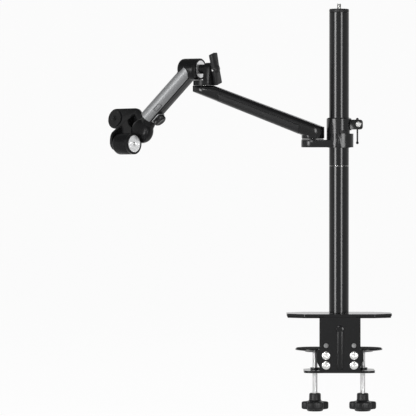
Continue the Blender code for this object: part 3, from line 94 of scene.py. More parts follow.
def half_width(name):
    return (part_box(name)[1][0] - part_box(name)[0][0]) / 2.0


def reach_along(node, origin, axis):
    """Lowest and highest place of a node's points along a line."""
    places = [(point.co - origin).dot(axis) for point in nodes[node].data.vertices]
    return min(places), max(places)


arm_axis = axis_of("wrist_roll")
under_axis = axis_of("wrist_knob_turn")
front_axis = arm_axis.cross(under_axis).normalized()
if front_axis.y > 0.0:
    front_axis.negate()

# Procedural materials
CLOUD_DETAIL = 5.0
FINE_DETAIL = 3.0
FINE_SHARE = 0.45
LOW_TONE = 0.30
HIGH_TONE = 0.70
DUST_TONE = 0.76
DUST_GREY = 0.30


def add(tree, kind, values=None, **attributes):
    """New node with its attributes and the values of its sockets set."""
    node = tree.nodes.new(kind)
    for key, value in attributes.items():
        setattr(node, key, value)
    for key, value in (values or {}).items():
        node.inputs[key].default_value = value
    return node


def tinted(colour, factor):
    return tuple(min(1.0, channel * factor) for channel in colour) + (1.0,)


def surface(name, colour, rough, *, vary, patch, grain, bump, height, metallic=0.0,
            specular=0.5, rough_vary=0.06, dust=0.0):
    """A finish with patchy colour, uneven gloss, fine grain and a little dust."""
    material = bpy.data.materials.new(name)
    material.use_nodes = True
    tree = material.node_tree
    shader = tree.nodes["Principled BSDF"]
    shader.inputs["Metallic"].default_value = metallic
    shader.inputs["Specular IOR Level"].default_value = specular
    place = add(tree, "ShaderNodeTexCoord")
    cloud = add(tree, "ShaderNodeTexNoise", {"Scale": patch, "Detail": CLOUD_DETAIL})
    fine = add(tree, "ShaderNodeTexNoise", {"Scale": grain, "Detail": FINE_DETAIL})
    tree.links.new(place.outputs["Object"], cloud.inputs["Vector"])
    tree.links.new(place.outputs["Object"], fine.inputs["Vector"])
    blend = add(tree, "ShaderNodeMix", {"Factor": FINE_SHARE}, data_type="FLOAT")
    tree.links.new(cloud.outputs["Fac"], blend.inputs["A"])
    tree.links.new(fine.outputs["Fac"], blend.inputs["B"])
    ramp = add(tree, "ShaderNodeValToRGB")
    ramp.color_ramp.elements[0].position = LOW_TONE
    ramp.color_ramp.elements[0].color = tinted(colour, 1.0 - vary)
    ramp.color_ramp.elements[1].position = HIGH_TONE
    ramp.color_ramp.elements[1].color = tinted(colour, 1.0 + vary)
    if dust > 0.0:
        spot = ramp.color_ramp.elements.new(DUST_TONE)
        mixed = [channel * (1.0 - dust) + DUST_GREY * dust for channel in colour]
        spot.color = tuple(mixed) + (1.0,)
    tree.links.new(blend.outputs["Result"], ramp.inputs["Fac"])
    tree.links.new(ramp.outputs["Color"], shader.inputs["Base Color"])
    gloss = add(tree, "ShaderNodeMapRange",
                {"From Min": LOW_TONE, "From Max": HIGH_TONE,
                 "To Min": rough - rough_vary, "To Max": rough + rough_vary})
    tree.links.new(blend.outputs["Result"], gloss.inputs["Value"])
    tree.links.new(gloss.outputs["Result"], shader.inputs["Roughness"])
    relief = add(tree, "ShaderNodeBump", {"Strength": bump, "Distance": height})
    tree.links.new(fine.outputs["Fac"], relief.inputs["Height"])
    tree.links.new(relief.outputs["Normal"], shader.inputs["Normal"])
    return material


BLACK_PAINT = (0.0045, 0.0046, 0.0049)
powder_coat = surface("powder_coat", BLACK_PAINT, 0.17, specular=0.22, vary=0.20,
                      patch=22.0, grain=1300.0, rough_vary=0.03, bump=0.10,
                      height=0.00004, dust=0.02)
pole_paint = surface("pole_paint", (0.0030, 0.0031, 0.0034), 0.15, specular=0.24,
                     vary=0.14, patch=14.0, grain=1500.0, rough_vary=0.03, bump=0.06,
                     height=0.00002, dust=0.01)
gloss_cast = surface("gloss_cast", BLACK_PAINT, 0.20, specular=0.23, vary=0.18,
                     patch=36.0, grain=800.0, rough_vary=0.04, bump=0.14,
                     height=0.00004, dust=0.02)
cast_paint = surface("cast_paint", BLACK_PAINT, 0.30, specular=0.11, vary=0.22,
                     patch=40.0, grain=700.0, bump=0.26, height=0.00008, dust=0.03)
plastic = surface("moulded_plastic", (0.0080, 0.0081, 0.0085), 0.42, specular=0.20,
                  vary=0.16, patch=60.0, grain=1600.0, bump=0.5, height=0.00008,
                  dust=0.04)
cover_plastic = surface("cover_plastic", (0.0090, 0.0091, 0.0095), 0.38, specular=0.21,
                        vary=0.14, patch=45.0, grain=1600.0, bump=0.4, height=0.00006)
rubber = surface("rubber", (0.0100, 0.0100, 0.0102), 0.82, specular=0.15, vary=0.22,
                 patch=80.0, grain=1100.0, bump=0.6, height=0.00012, dust=0.06)
silver = surface("silver_paint", (0.175, 0.178, 0.181), 0.38, metallic=0.55,
                 specular=0.35, vary=0.06, patch=30.0, grain=1800.0, bump=0.18,
                 height=0.00004)
machined = surface("machined_face", (0.72, 0.725, 0.73), 0.28, metallic=0.85,
                   vary=0.06, patch=90.0, grain=1400.0, bump=0.2, height=0.00004)
zinc = surface("bright_zinc", (0.62, 0.62, 0.61), 0.24, metallic=1.0, vary=0.12,
               patch=70.0, grain=1600.0, bump=0.25, height=0.00004)
thread_steel = surface("thread_steel", (0.74, 0.74, 0.74), 0.36, metallic=1.0,
                       vary=0.14, patch=90.0, grain=1500.0, bump=0.3, height=0.00004)
knurl_black = surface("knurled_black", (0.0060, 0.0061, 0.0064), 0.30, specular=0.22,
                      vary=0.18, patch=90.0, grain=1400.0, bump=0.3, height=0.00005)
dull_zinc = surface("dull_zinc", (0.20, 0.20, 0.20), 0.34, metallic=1.0, vary=0.12,
                    patch=70.0, grain=1600.0, bump=0.25, height=0.00004)
oxide = surface("black_oxide", (0.012, 0.012, 0.0125), 0.34, metallic=0.3,
                specular=0.3, vary=0.22, patch=90.0, grain=1200.0, bump=0.3,
                height=0.00005)

finishes = {
    powder_coat: ("base_plate", "clamp_bracket", "press_disc_left", "press_disc_right",
                  "camera_bracket"),
    pole_paint: ("pole_lower", "pole_upper"),
    gloss_cast: ("collar_body", "lower_arm"),
    cast_paint: ("elbow_block", "elbow_shaft", "forearm_frame", "wrist_knuckle"),
    plastic: ("pole_cap", "collar_liner", "arm_washer", "elbow_handle"),
    cover_plastic: ("lower_arm_cover",),
    rubber: ("base_pad", "disc_pad_left", "disc_pad_right", "camera_pad"),
    silver: ("forearm_shell", "wrist_strip"),
    oxide: ("spindle_nut_left", "spindle_nut_right", "tommy_bar"),
    zinc: ("pole_joiner", "pole_foot_plug", "pole_foot_bolt", "clamp_screw", "clamp_nut",
           "ear_pivot_bolt", "elbow_pivot_pin", "handle_pin"),
}
for finish, names in finishes.items():
    for name in names:
        nodes[name].data.materials.clear()
        nodes[name].data.materials.append(finish)
node_finish = {name: finish for finish, names in finishes.items() for name in names}
node_body = {name: body for body, names in frame["record"]["behaviour"]["bodies"].items()
             for name in names}

# Mesh helpers for the detailed pieces
MERGE_DISTANCE = 1e-7
PLAIN_ANGLE = 50.0
LATHE_STEPS = 48
LATHE_ANGLE = 35.0
THREAD_STEPS = 20
THREAD_ROWS = 5.0
THREAD_FLANK = 1.25
THREAD_LEAD = 0.0006


def linked(name, data):
    item = bpy.data.objects.new(name, data)
    bpy.context.scene.collection.objects.link(item)
    return item


def add_piece(name, bm, finish, body, stands_for=(), smooth=PLAIN_ANGLE):
    bmesh.ops.remove_doubles(bm, verts=bm.verts, dist=MERGE_DISTANCE)
    bmesh.ops.recalc_face_normals(bm, faces=bm.faces)
    mesh = bpy.data.meshes.new(name)
    bm.to_mesh(mesh)
    bm.free()
    piece = linked(name, mesh)
    mesh.materials.append(finish)
    mesh.shade_smooth()
    mesh.set_sharp_from_angle(angle=math.radians(smooth))
    if stands_for:
        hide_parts(*stands_for)
    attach(piece, body)
    return piece


def bridge(bm, rings):
    """Faces from each ring to the next; a ring of one point makes a tip."""
    for near, far in zip(rings, rings[1:]):
        steps = max(len(near), len(far))
        for i in range(steps):
            j = (i + 1) % steps
            if len(near) == 1 and len(far) > 1:
                bm.faces.new((near[0], far[j], far[i]))
            elif len(far) == 1 and len(near) > 1:
                bm.faces.new((near[i], near[j], far[0]))
            elif len(near) > 1:
                bm.faces.new((near[i], near[j], far[j], far[i]))


def bridge_capped(bm, rings):
    """Bridged rings with a flat face over the first and over the last."""
    bridge(bm, rings)
    bm.faces.new(rings[0])
    bm.faces.new(rings[-1])
    return bm


def ring_round(bm, place, height, reaches):
    """Ring of evenly turned points round local Z, one for each reach."""
    ring = []
    for i, reach in enumerate(reaches):
        turn = 2.0 * math.pi * i / len(reaches)
        point = Vector((reach * math.cos(turn), reach * math.sin(turn), height))
        ring.append(bm.verts.new(place @ point))
    return ring


def reach_at(share, radius, shape=None, amount=None):
    """Reach at a share of the turn, for a round, hexagonal, waved or toothed row."""
    turn = 2.0 * math.pi * share
    if shape == "hex":
        slice_turn = (turn + math.pi / 6.0) % (math.pi / 3.0) - math.pi / 6.0
        return radius / math.cos(slice_turn)
    if shape == "wave":
        depth, count = amount
        return radius + depth * math.cos(count * turn)
    if shape == "tooth":
        depth, count = amount
        phase = (count * share) % 1.0
        return radius - depth * abs(2.0 * phase - 1.0)
    return radius


def lathe(rows, place, steps=LATHE_STEPS):
    """Mesh turned from rows of radius and height, with a shape and its amount if not round.

    Rows that start away from the axis close back onto the first one.
    """
    bm = bmesh.new()
    rings = []
    for radius, height, *shaped in rows:
        if radius <= 0.0:
            rings.append([bm.verts.new(place @ Vector((0.0, 0.0, height)))])
        else:
            reaches = [reach_at(i / steps, radius, *shaped) for i in range(steps)]
            rings.append(ring_round(bm, place, height, reaches))
    if rows[0][0] > 0.0:
        rings.append(rings[0])
    bridge(bm, rings)
    return bm


def threaded(bm, radius, pitch, depth, low, high, place):
    """Bar with a helical thread that fades out at both ends, added to a mesh."""
    count = max(8, int(round((high - low) / pitch * THREAD_ROWS)))
    rings = []
    for k in range(count + 1):
        height = low + (high - low) * k / count
        to_end = min(height - low, high - height)
        reaches = []
        for i in range(THREAD_STEPS):
            phase = (height / pitch - i / THREAD_STEPS) % 1.0
            cut = depth * (1.0 - abs(2.0 * phase - 1.0) * THREAD_FLANK)
            reach = radius - min(depth, max(0.0, cut))
            if to_end < THREAD_LEAD:
                reach = min(reach, radius - depth * (1.0 - to_end / THREAD_LEAD))
            reaches.append(reach)
        rings.append(ring_round(bm, place, height, reaches))
    return bridge_capped(bm, rings)


def knurled(profile, datum, teeth):
    """Rows of a knurled knob from (radius, rise from the datum, depth of the teeth)."""
    return [(radius, datum + rise, "tooth", (depth, teeth))
            for radius, rise, depth in profile]


# Skins with smooth shading and softened edges over the solids that stay visible
SKIN_MERGE = 2e-6
SKIN_FLAT = 0.4
SKIN_ANGLE = 32.0
SOFT_SEGMENTS = 2
SOFT_ANGLE = SKIN_ANGLE + 6.0
PLATE_CORNER = 0.0058
CORNER_SEGMENTS = 5
CORNER_LEAST = 30.0
CORNER_MOST = 60.0
NEARLY_UPRIGHT = 0.99
SOFT_EDGES = {
    "base_plate": 0.0005, "clamp_bracket": 0.0004, "base_pad": 0.0002,
    "press_disc_left": 0.0003, "press_disc_right": 0.0003, "camera_bracket": 0.0004,
    "collar_body": 0.0004, "lower_arm": 0.0004, "lower_arm_cover": 0.0002,
    "elbow_block": 0.0004, "elbow_shaft": 0.0003, "elbow_handle": 0.0004,
    "forearm_frame": 0.0003, "forearm_shell": 0.0, "wrist_strip": 0.0002,
    "wrist_knuckle": 0.0003, "collar_liner": 0.0, "spindle_nut_left": 0.0002,
    "spindle_nut_right": 0.0002, "tommy_bar": 0.0, "clamp_screw": 0.0003,
    "clamp_nut": 0.0003, "ear_pivot_bolt": 0.0003, "camera_pad": 0.0002,
    "disc_pad_left": 0.0, "disc_pad_right": 0.0,
}


def is_corner(seam):
    """Whether an edge stands along Z where the outline turns by about 45 degrees."""
    along = (seam.verts[1].co - seam.verts[0].co).normalized()
    return (len(seam.link_faces) == 2 and abs(along.z) > NEARLY_UPRIGHT
            and CORNER_LEAST < math.degrees(seam.calc_face_angle()) < CORNER_MOST)


def skin(node, edge, corner=0.0):
    bm = bmesh.new()
    bm.from_mesh(nodes[node].data)
    bmesh.ops.remove_doubles(bm, verts=bm.verts, dist=SKIN_MERGE)
    bmesh.ops.dissolve_limit(bm, angle_limit=math.radians(SKIN_FLAT), verts=bm.verts,
                             edges=bm.edges)
    if corner > 0.0:
        bmesh.ops.bevel(bm, geom=[seam for seam in bm.edges if is_corner(seam)],
                        offset=corner, segments=CORNER_SEGMENTS, profile=0.5,
                        affect="EDGES", clamp_overlap=True)
    piece = add_piece(f"{node}_skin", bm, node_finish[node], node_body[node],
                      (node,), SKIN_ANGLE)
    if edge > 0.0:
        soft = piece.modifiers.new("soft_edges", "BEVEL")
        soft.width = edge
        soft.segments = SOFT_SEGMENTS
        soft.limit_method = "ANGLE"
        soft.angle_limit = math.radians(SOFT_ANGLE)
        soft.harden_normals = True
        soft.miter_outer = "MITER_ARC"
    return piece


skins = {node: skin(node, edge, PLATE_CORNER if node == "base_plate" else 0.0)
         for node, edge in SOFT_EDGES.items()}

# The pole's two tubes and its cap, turned finely
POLE_STEPS = 96
POLE_WALL = 0.0025
TUBE_LEAD = 0.0003
TUBE_ANGLE = 30.0
for node in ("pole_lower", "pole_upper"):
    seat, low, high = upright(node)
    outer = half_width(node)
    inner = outer - POLE_WALL
    rows = [(inner, low), (outer - TUBE_LEAD, low), (outer, low + TUBE_LEAD),
            (outer, high - TUBE_LEAD), (outer - TUBE_LEAD, high), (inner, high)]
    add_piece(f"{node}_tube", lathe(rows, seat, POLE_STEPS), pole_paint, "base",
              (node,), TUBE_ANGLE)

CAP_GAP = 0.0003
CAP_LIP = 0.0103
CAP_LEAD = 0.0003
CAP_RIM = ((0.0, 0.0014), (0.0004, 0.0004), (0.0013, 0.0))  # inset, drop
DIMPLE_RADIUS = 0.0062
DIMPLE_SLOPE = 0.0006
DIMPLE_DEPTH = 0.0005
STUD_HOLE = 0.0036
seat, low, high = upright("pole_cap")
outer = half_width("pole_cap")
spigot = outer - POLE_WALL - CAP_GAP
rows = [(STUD_HOLE, low), (spigot, low), (spigot, low + CAP_LIP),
        (outer - CAP_LEAD, low + CAP_LIP), (outer, low + CAP_LIP + CAP_LEAD)]
rows += [(outer - inset, high - drop) for inset, drop in CAP_RIM]
rows += [(DIMPLE_RADIUS, high), (DIMPLE_RADIUS - DIMPLE_SLOPE, high - DIMPLE_DEPTH),
         (STUD_HOLE, high - DIMPLE_DEPTH)]
add_piece("pole_cap_turned", lathe(rows, seat, POLE_STEPS), plastic, "base",
          ("pole_cap",), LATHE_ANGLE)

# Clamp spindles with their coarse thread, and the star knobs under them
SPINDLE_RADIUS = 0.0040
SPINDLE_PITCH = 0.00125
SPINDLE_THREAD = 0.0004
KNOB_RADIUS = 0.0177
KNOB_WAVE = 0.0028
KNOB_LOBES = 6
KNOB_STEPS = 120
KNOB_ANGLE = 60.0
# Radius and rise from the foot; shares of radius and wave, and rise; radius and drop
KNOB_FOOT = ((0.0, 0.0006), (0.0060, 0.0004), (0.0102, 0.0), (0.0116, 0.0006),
             (0.0122, 0.0016), (0.0126, 0.0026))
KNOB_GRIP = ((0.80, 0.75, 0.0030), (0.92, 0.90, 0.0033), (0.98, 1.00, 0.0044),
             (1.00, 1.00, 0.0062), (1.00, 1.00, 0.0118), (0.98, 1.00, 0.0136),
             (0.91, 0.90, 0.0147), (0.78, 0.70, 0.0150))
KNOB_NECK = ((0.0105, 0.0154), (0.0095, 0.0164), (0.0090, 0.0180))
KNOB_TOP = ((0.0088, 0.0016), (0.0082, 0.0004), (0.0074, 0.0), (0.0046, 0.0),
            (0.0043, 0.0010), (0.0, 0.0012))
for label in ("left", "right"):
    seat, low, high = upright(f"clamp_spindle_{label}")
    bm = threaded(bmesh.new(), SPINDLE_RADIUS, SPINDLE_PITCH, SPINDLE_THREAD, low, high,
                  seat)
    add_piece(f"thread_{label}", bm, thread_steel, f"{label}_spindle",
              (f"clamp_spindle_{label}",))
    seat, low, high = upright(f"star_knob_{label}")
    rows = [(radius, low + rise) for radius, rise in KNOB_FOOT]
    rows += [(KNOB_RADIUS * size, low + rise, "wave", (KNOB_WAVE * swell, KNOB_LOBES))
             for size, swell, rise in KNOB_GRIP]
    rows += [(radius, low + rise) for radius, rise in KNOB_NECK]
    rows += [(radius, high - drop) for radius, drop in KNOB_TOP]
    add_piece(f"knob_{label}", lathe(rows, seat, KNOB_STEPS), plastic,
              f"{label}_spindle", (f"star_knob_{label}",), KNOB_ANGLE)

# Screws with a domed head and a hexagon socket
HEAD_SIDE = 0.30  # straight side, as a share of the head's height
HEAD_CROWN = 0.62  # inner edge of the dome, as a share of the socket's width
HEAD_DOME_STEPS = 6
SOCKET_MOUTH = ((0.54, 0.992), (0.50, 0.95))  # shares of its width and of the height
SOCKET_DEPTH = 0.72
SOCKET_CONE = 0.0003
SHANK_GAP = 0.0001
SHANK_LEAD = 0.0005
SHANK_TIP = 0.86


def socket_screw(name, place, head_radius, head_height, shank, length, across, body,
                 stands_for):
    """Head from 0 up to head_height along local Z, and the shank below it."""
    floor_height = head_height * (1.0 - SOCKET_DEPTH)
    rows = [(0.0, -length), (shank * SHANK_TIP, -length), (shank, -length + SHANK_LEAD),
            (shank, -SHANK_GAP), (head_radius, 0.0),
            (head_radius, head_height * HEAD_SIDE)]
    for i in range(1, HEAD_DOME_STEPS + 1):
        lean = math.radians(90.0 * i / HEAD_DOME_STEPS)
        inset = (head_radius - across * HEAD_CROWN) * (1.0 - math.cos(lean))
        rise = HEAD_SIDE + (1.0 - HEAD_SIDE) * math.sin(lean)
        rows.append((head_radius - inset, head_height * rise))
    rows += [(across * share, head_height * rise, "hex") for share, rise in SOCKET_MOUTH]
    rows += [(across * 0.5, floor_height, "hex"),
             (across * 0.3, floor_height - SOCKET_CONE * 2.0 / 3.0),
             (0.0, floor_height - SOCKET_CONE)]
    return add_piece(name, lathe(rows, place), zinc, body, stands_for,
                     LATHE_ANGLE)


BRACKET_HEAD_RADIUS = 0.0067
BRACKET_HEAD_HEIGHT = 0.0034
BRACKET_SHANK = 0.0030
BRACKET_SOCKET = 0.0046
for row in ("upper", "lower"):
    for label in ("left", "right"):
        node = f"bracket_screw_{row}_{label}"
        low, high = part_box(node)
        head_foot = Vector(((low[0] + high[0]) / 2.0, low[1] + BRACKET_HEAD_HEIGHT,
                            (low[2] + high[2]) / 2.0))
        socket_screw(f"socket_screw_{row}_{label}",
                     frame_at(head_foot, TOWARDS_VIEWER, RIGHT), BRACKET_HEAD_RADIUS,
                     BRACKET_HEAD_HEIGHT, BRACKET_SHANK,
                     high[1] - low[1] - BRACKET_HEAD_HEIGHT, BRACKET_SOCKET, "base",
                     (node,))

# Two shallow beads with round ends along the bracket's pressed rib
BEAD_OFFSET = 0.0032
BEAD_HALF = 0.0010
BEAD_RISE = 0.00024
BEAD_TOP = 0.0195
BEAD_FOOT = 0.0080
BEAD_SUNK = 0.0006
BEAD_END_STEPS = 6
BEAD_POINTS = 8
BEAD_LEAST = 0.02
BEAD_ANGLE = 60.0
low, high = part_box("clamp_bracket")
for side, label in ((-1.0, "left"), (1.0, "right")):
    bm = bmesh.new()
    rings = []
    centre = side * BEAD_OFFSET
    leans = [math.radians(90.0 * k / BEAD_END_STEPS) for k in range(BEAD_END_STEPS + 1)]
    stations = [(math.sin(lean), low[2] + BEAD_FOOT + BEAD_HALF * (1.0 - math.cos(lean)))
                for lean in leans]
    stations += [(math.sin(lean), -BEAD_TOP - BEAD_HALF * (1.0 - math.cos(lean)))
                 for lean in reversed(leans)]
    for size, height in stations:
        half = BEAD_HALF * max(size, BEAD_LEAST)
        ring = [bm.verts.new((centre - half, low[1] + BEAD_SUNK, height)),
                bm.verts.new((centre + half, low[1] + BEAD_SUNK, height))]
        for i in range(BEAD_POINTS, -1, -1):
            part = 2.0 * i / BEAD_POINTS - 1.0
            rise = BEAD_RISE * size * (1.0 - part * part)
            ring.append(bm.verts.new((centre + half * part, low[1] - rise, height)))
        rings.append(ring)
    add_piece(f"rib_bead_{label}", bridge_capped(bm, rings), powder_coat, "base",
              (), BEAD_ANGLE)

# Set screws in the bracket's two spare holes
SPARE_RISE = 0.0148
SPARE_DEPTH = 0.0037
SET_SCREW = ((0.0, -0.0034), (0.0036, -0.0034), (0.00395, -0.0030), (0.00395, -0.0010),
             (0.0034, -0.0006), (0.0024, -0.0006, "hex"), (0.0023, -0.0008, "hex"),
             (0.0023, -0.0026, "hex"), (0.0, -0.0028))
for label in ("left", "right"):
    low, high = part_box(f"bracket_screw_upper_{label}")
    middle = Vector(((low[0] + high[0]) / 2.0, low[1] + SPARE_DEPTH,
                     (low[2] + high[2]) / 2.0 + SPARE_RISE))
    add_piece(f"set_screw_{label}",
              lathe(SET_SCREW, frame_at(middle, TOWARDS_VIEWER, RIGHT)), dull_zinc,
              "base", (), LATHE_ANGLE)

# Gaskets that close the seams at the two ends of the arm's cover
GASKET_HALF = 0.0012
GASKET_SHARE = 0.93
END_TOLERANCE = 1e-4
cover_low, cover_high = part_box("lower_arm_cover")
for label, place in (("left", cover_low[0]), ("right", cover_high[0])):
    outline = [point.co for point in nodes["lower_arm_cover"].data.vertices
               if abs(point.co.x - place) < END_TOLERANCE]
    centre = sum(outline, Vector()) / len(outline)
    outline.sort(key=lambda point: math.atan2(point.z - centre.z, point.y - centre.y))
    bm = bmesh.new()
    ends = [[bm.verts.new(centre + (point - centre) * GASKET_SHARE + RIGHT * offset)
             for point in outline] for offset in (-GASKET_HALF, GASKET_HALF)]
    add_piece(f"cover_gasket_{label}", bridge_capped(bm, ends), rubber, "arm")

# Wide thrust washer under the arm's root
WASHER_RADIUS = 0.0168
WASHER_INSET = 0.0004
WASHER_LEAD = 0.0003
WASHER_STEPS = 64
seat, low, high = upright("arm_washer")
hub = Vector((seat.translation.x, seat.translation.y, 0.0))
hole = min((Vector((point.co.x, point.co.y, 0.0)) - hub).length
           for point in nodes["arm_washer"].data.vertices)
rows = [(hole, low), (WASHER_RADIUS - WASHER_INSET, low),
        (WASHER_RADIUS, low + WASHER_LEAD), (WASHER_RADIUS, high - WASHER_LEAD),
        (WASHER_RADIUS - WASHER_INSET, high), (hole, high)]
add_piece("thrust_washer", lathe(rows, seat, WASHER_STEPS), plastic, "arm",
          ("arm_washer",), LATHE_ANGLE)

# Threaded stud on the pole's cap
QUARTER_INCH_PITCH = 0.00127
STUD_RADIUS = 0.00325
STUD_THREAD = 0.00055
seat, low, high = upright("top_stud")
add_piece("stud_thread", threaded(bmesh.new(), STUD_RADIUS, QUARTER_INCH_PITCH,
                                  STUD_THREAD, low, high, seat),
          zinc, "base", ("top_stud",))

# Knurled clamping knob under the forearm
KNURL_ANGLE = 40.0
STEPS_A_TOOTH = 4
CLAMP_TEETH = 40
CLAMP_STUD = 0.0025
CLAMP_HEIGHT = 0.0076
CLAMP_KNOB = ((CLAMP_STUD, -CLAMP_HEIGHT, 0.0), (0.0086, -CLAMP_HEIGHT, 0.0),
              (0.0092, -0.0072, 0.0002), (0.0097, -0.0064, 0.0006),
              (0.0097, -0.0026, 0.0006), (0.0088, -0.0012, 0.0003),
              (0.0078, -0.0004, 0.0), (0.0066, 0.0, 0.0), (0.0058, -0.0005, 0.0),
              (0.0, -0.0006, 0.0))
spot = place_of("wrist_knob_turn")
low, high = reach_along("wrist_knob", spot, under_axis)
rows = [(0.0, low), (CLAMP_STUD, low)] + knurled(CLAMP_KNOB, high, CLAMP_TEETH)
add_piece("knurled_knob", lathe(rows, frame_at(spot, under_axis, arm_axis),
                                STEPS_A_TOOTH * CLAMP_TEETH),
          knurl_black, "wrist_clamp", ("wrist_knob",), KNURL_ANGLE)

# Camera screw: its knurled head and its thread
CAMERA_TEETH = 44
CAMERA_KNOB = ((0.0, 0.0012, 0.0), (0.0040, 0.0012, 0.0), (0.0046, 0.0, 0.0),
               (0.0088, 0.0, 0.0), (0.0096, 0.0006, 0.0003), (0.0100, 0.0012, 0.0006),
               (0.0100, 0.0058, 0.0006), (0.0096, 0.0064, 0.0003),
               (0.0088, 0.0070, 0.0), (0.0029, 0.0070, 0.0), (0.0029, 0.0090, 0.0),
               (0.0, 0.0090, 0.0))
CAMERA_THREAD_START = 0.0085
CAMERA_THREAD_RADIUS = 0.0031
CAMERA_THREAD = 0.0005
spot = place_of("camera_screw_turn")
out_axis = axis_of("camera_screw_turn")
low, high = reach_along("camera_screw", spot, out_axis)
seat = frame_at(spot, out_axis, UP)
bm = lathe(knurled(CAMERA_KNOB, low, CAMERA_TEETH), seat, STEPS_A_TOOTH * CAMERA_TEETH)
threaded(bm, CAMERA_THREAD_RADIUS, QUARTER_INCH_PITCH, CAMERA_THREAD,
         low + CAMERA_THREAD_START, high, seat)
add_piece("camera_screw_knob", bm, knurl_black, "head_screw",
          ("camera_screw",), KNURL_ANGLE)

# Screw in the middle of the head's bright face
FACE_SCREW_RADIUS = 0.0022
FACE_SCREW_HEAD = ((0.0022, -0.0006), (0.0021, -0.0002), (0.0018, 0.0),
                   (0.00125, 0.0, "hex"), (0.00115, -0.0002, "hex"),
                   (0.00115, -0.0011, "hex"), (0.0, -0.0013))
head_axis = axis_of("head_tilt")
spot = place_of("head_tilt")


def outer_end(low, high):
    """The end farther from the joint's place, and which way it lies."""
    return (low, -1.0) if abs(low) > abs(high) else (high, 1.0)


low, high = reach_along("head_face_screw", spot, head_axis)
end, side = outer_end(low, high)
rows = [(0.0, low - high), (FACE_SCREW_RADIUS, low - high)] + list(FACE_SCREW_HEAD)
add_piece("face_screw", lathe(rows, frame_at(spot + head_axis * end, head_axis * side, UP)),
          zinc, "wrist", ("head_face_screw",), LATHE_ANGLE)

# Bright discs with turned grooves, lying in the drums' recesses
DISC_STEPS = 72
DISC_ANGLE = 25.0
DISC_LEAD = 0.0003
GROOVE = ((0.0005, 0.0), (0.0003, -0.0003), (-0.0003, -0.0003), (-0.0005, 0.0))
HOLE_EDGE = ((0.0007, 0.0), (0.0, -0.0004))
HEAD_GROOVES = (0.0106, 0.0082, 0.0048)
ELBOW_GROOVES = (0.0108,)


def grooved_disc(name, node, origin, axis, body, grooves):
    points = [point.co - origin for point in nodes[node].data.vertices]
    radii = [(point - axis * point.dot(axis)).length for point in points]
    hole, outer = min(radii), max(radii)
    low, high = reach_along(node, origin, axis)
    end, side = outer_end(low, high)
    rows = [(hole, low - high), (outer, low - high), (outer, -DISC_LEAD),
            (outer - DISC_LEAD, 0.0)]
    for radius in grooves:
        rows += [(radius + across, rise) for across, rise in GROOVE]
    rows += [(hole + across, rise) for across, rise in HOLE_EDGE]
    add_piece(name, lathe(rows, frame_at(origin + axis * end, axis * side, UP),
                          DISC_STEPS),
              machined, body, (node,), DISC_ANGLE)


grooved_disc("head_face", "head_face_disc", spot, head_axis, "wrist", HEAD_GROOVES)
grooved_disc("elbow_face", "elbow_face_disc", place_of("elbow_roll"),
             axis_of("elbow_roll"), "forearm", ELBOW_GROOVES)

# Bolt through the camera bracket's ear
EAR_HEAD_RADIUS = 0.0070
EAR_HEAD_HEIGHT = 0.0030
EAR_SHANK = 0.0040
EAR_SOCKET = 0.0050
low, high = reach_along("head_pivot_bolt", spot, head_axis)
end, side = outer_end(low, high)
seat = frame_at(spot + head_axis * (end - side * EAR_HEAD_HEIGHT), head_axis * side, UP)
socket_screw("ear_socket_bolt", seat, EAR_HEAD_RADIUS, EAR_HEAD_HEIGHT, EAR_SHANK,
             high - low - EAR_HEAD_HEIGHT, EAR_SOCKET, "head", ("head_pivot_bolt",))

# Blank inlay let into the forearm's shell, set where a ray meets the shell
WRIST_ALONG = 0.1
WRIST_DROP = 0.0050
INLAY_ALONG = 0.0777
INLAY_FRONT = 0.0144
INLAY_UNDER = 0.0062
INLAY_FACING = (0.751, 0.660)
RAY_START = 0.02
PLATE_CORNER_STEPS = 4
arm_origin = place_of("wrist_roll") - arm_axis * WRIST_ALONG - under_axis * WRIST_DROP
facing = (front_axis * INLAY_FACING[0] + under_axis * INLAY_FACING[1]).normalized()
aim = (arm_origin + arm_axis * INLAY_ALONG + front_axis * INLAY_FRONT
       + under_axis * INLAY_UNDER)
bpy.context.view_layer.update()
hit, where, normal, _ = skins["forearm_shell"].ray_cast(aim + facing * RAY_START,
                                                        -facing)
if hit:
    facing = normal.normalized()
    aim = where


def plate(place, length, width, corner, low, high, bevelled):
    """Plate with round corners and a bevelled upper edge."""
    outline = []
    for cx, cy, start in ((1, 1, 0), (-1, 1, 90), (-1, -1, 180), (1, -1, 270)):
        for step in range(PLATE_CORNER_STEPS + 1):
            turn = math.radians(start + 90.0 * step / PLATE_CORNER_STEPS)
            outline.append(((length / 2.0 - corner) * cx + corner * math.cos(turn),
                            (width / 2.0 - corner) * cy + corner * math.sin(turn)))
    bm = bmesh.new()
    rings = []
    for height, inset in ((low, 0.0), (high - bevelled, 0.0), (high, bevelled)):
        shrink_x = 1.0 - 2.0 * inset / length
        shrink_y = 1.0 - 2.0 * inset / width
        rings.append([bm.verts.new(place @ Vector((x * shrink_x, y * shrink_y, height)))
                      for x, y in outline])
    return bridge_capped(bm, rings)


seat = frame_at(aim, facing, arm_axis)
add_piece("inlay_rim", plate(seat, length=0.0136, width=0.0066, corner=0.0010,
                             low=-0.0012, high=0.0001, bevelled=0.0001),
          oxide, "forearm")
add_piece("inlay_plate", plate(seat, length=0.0122, width=0.0052, corner=0.0007,
                               low=-0.0010, high=0.00035, bevelled=0.0002),
          silver, "forearm")

# Floor and backdrop, pale where they are seen and matt where they light the part
WHITE = (1.0, 1.0, 1.0, 1.0)
KNOB_TRAVEL = 0.0260
FLOOR_GAP = 0.0004
FLOOR_HALF = 9.0
FLOOR_FRONT = -9.0
FLOOR_BACK = 7.0
BEND_RADIUS = 1.5
BEND_STEPS = 12
BACKDROP_TOP = 5.0
FLOOR_COLOUR = (0.84, 0.84, 0.84, 1.0)
FLOOR_SHOWN = 0.95


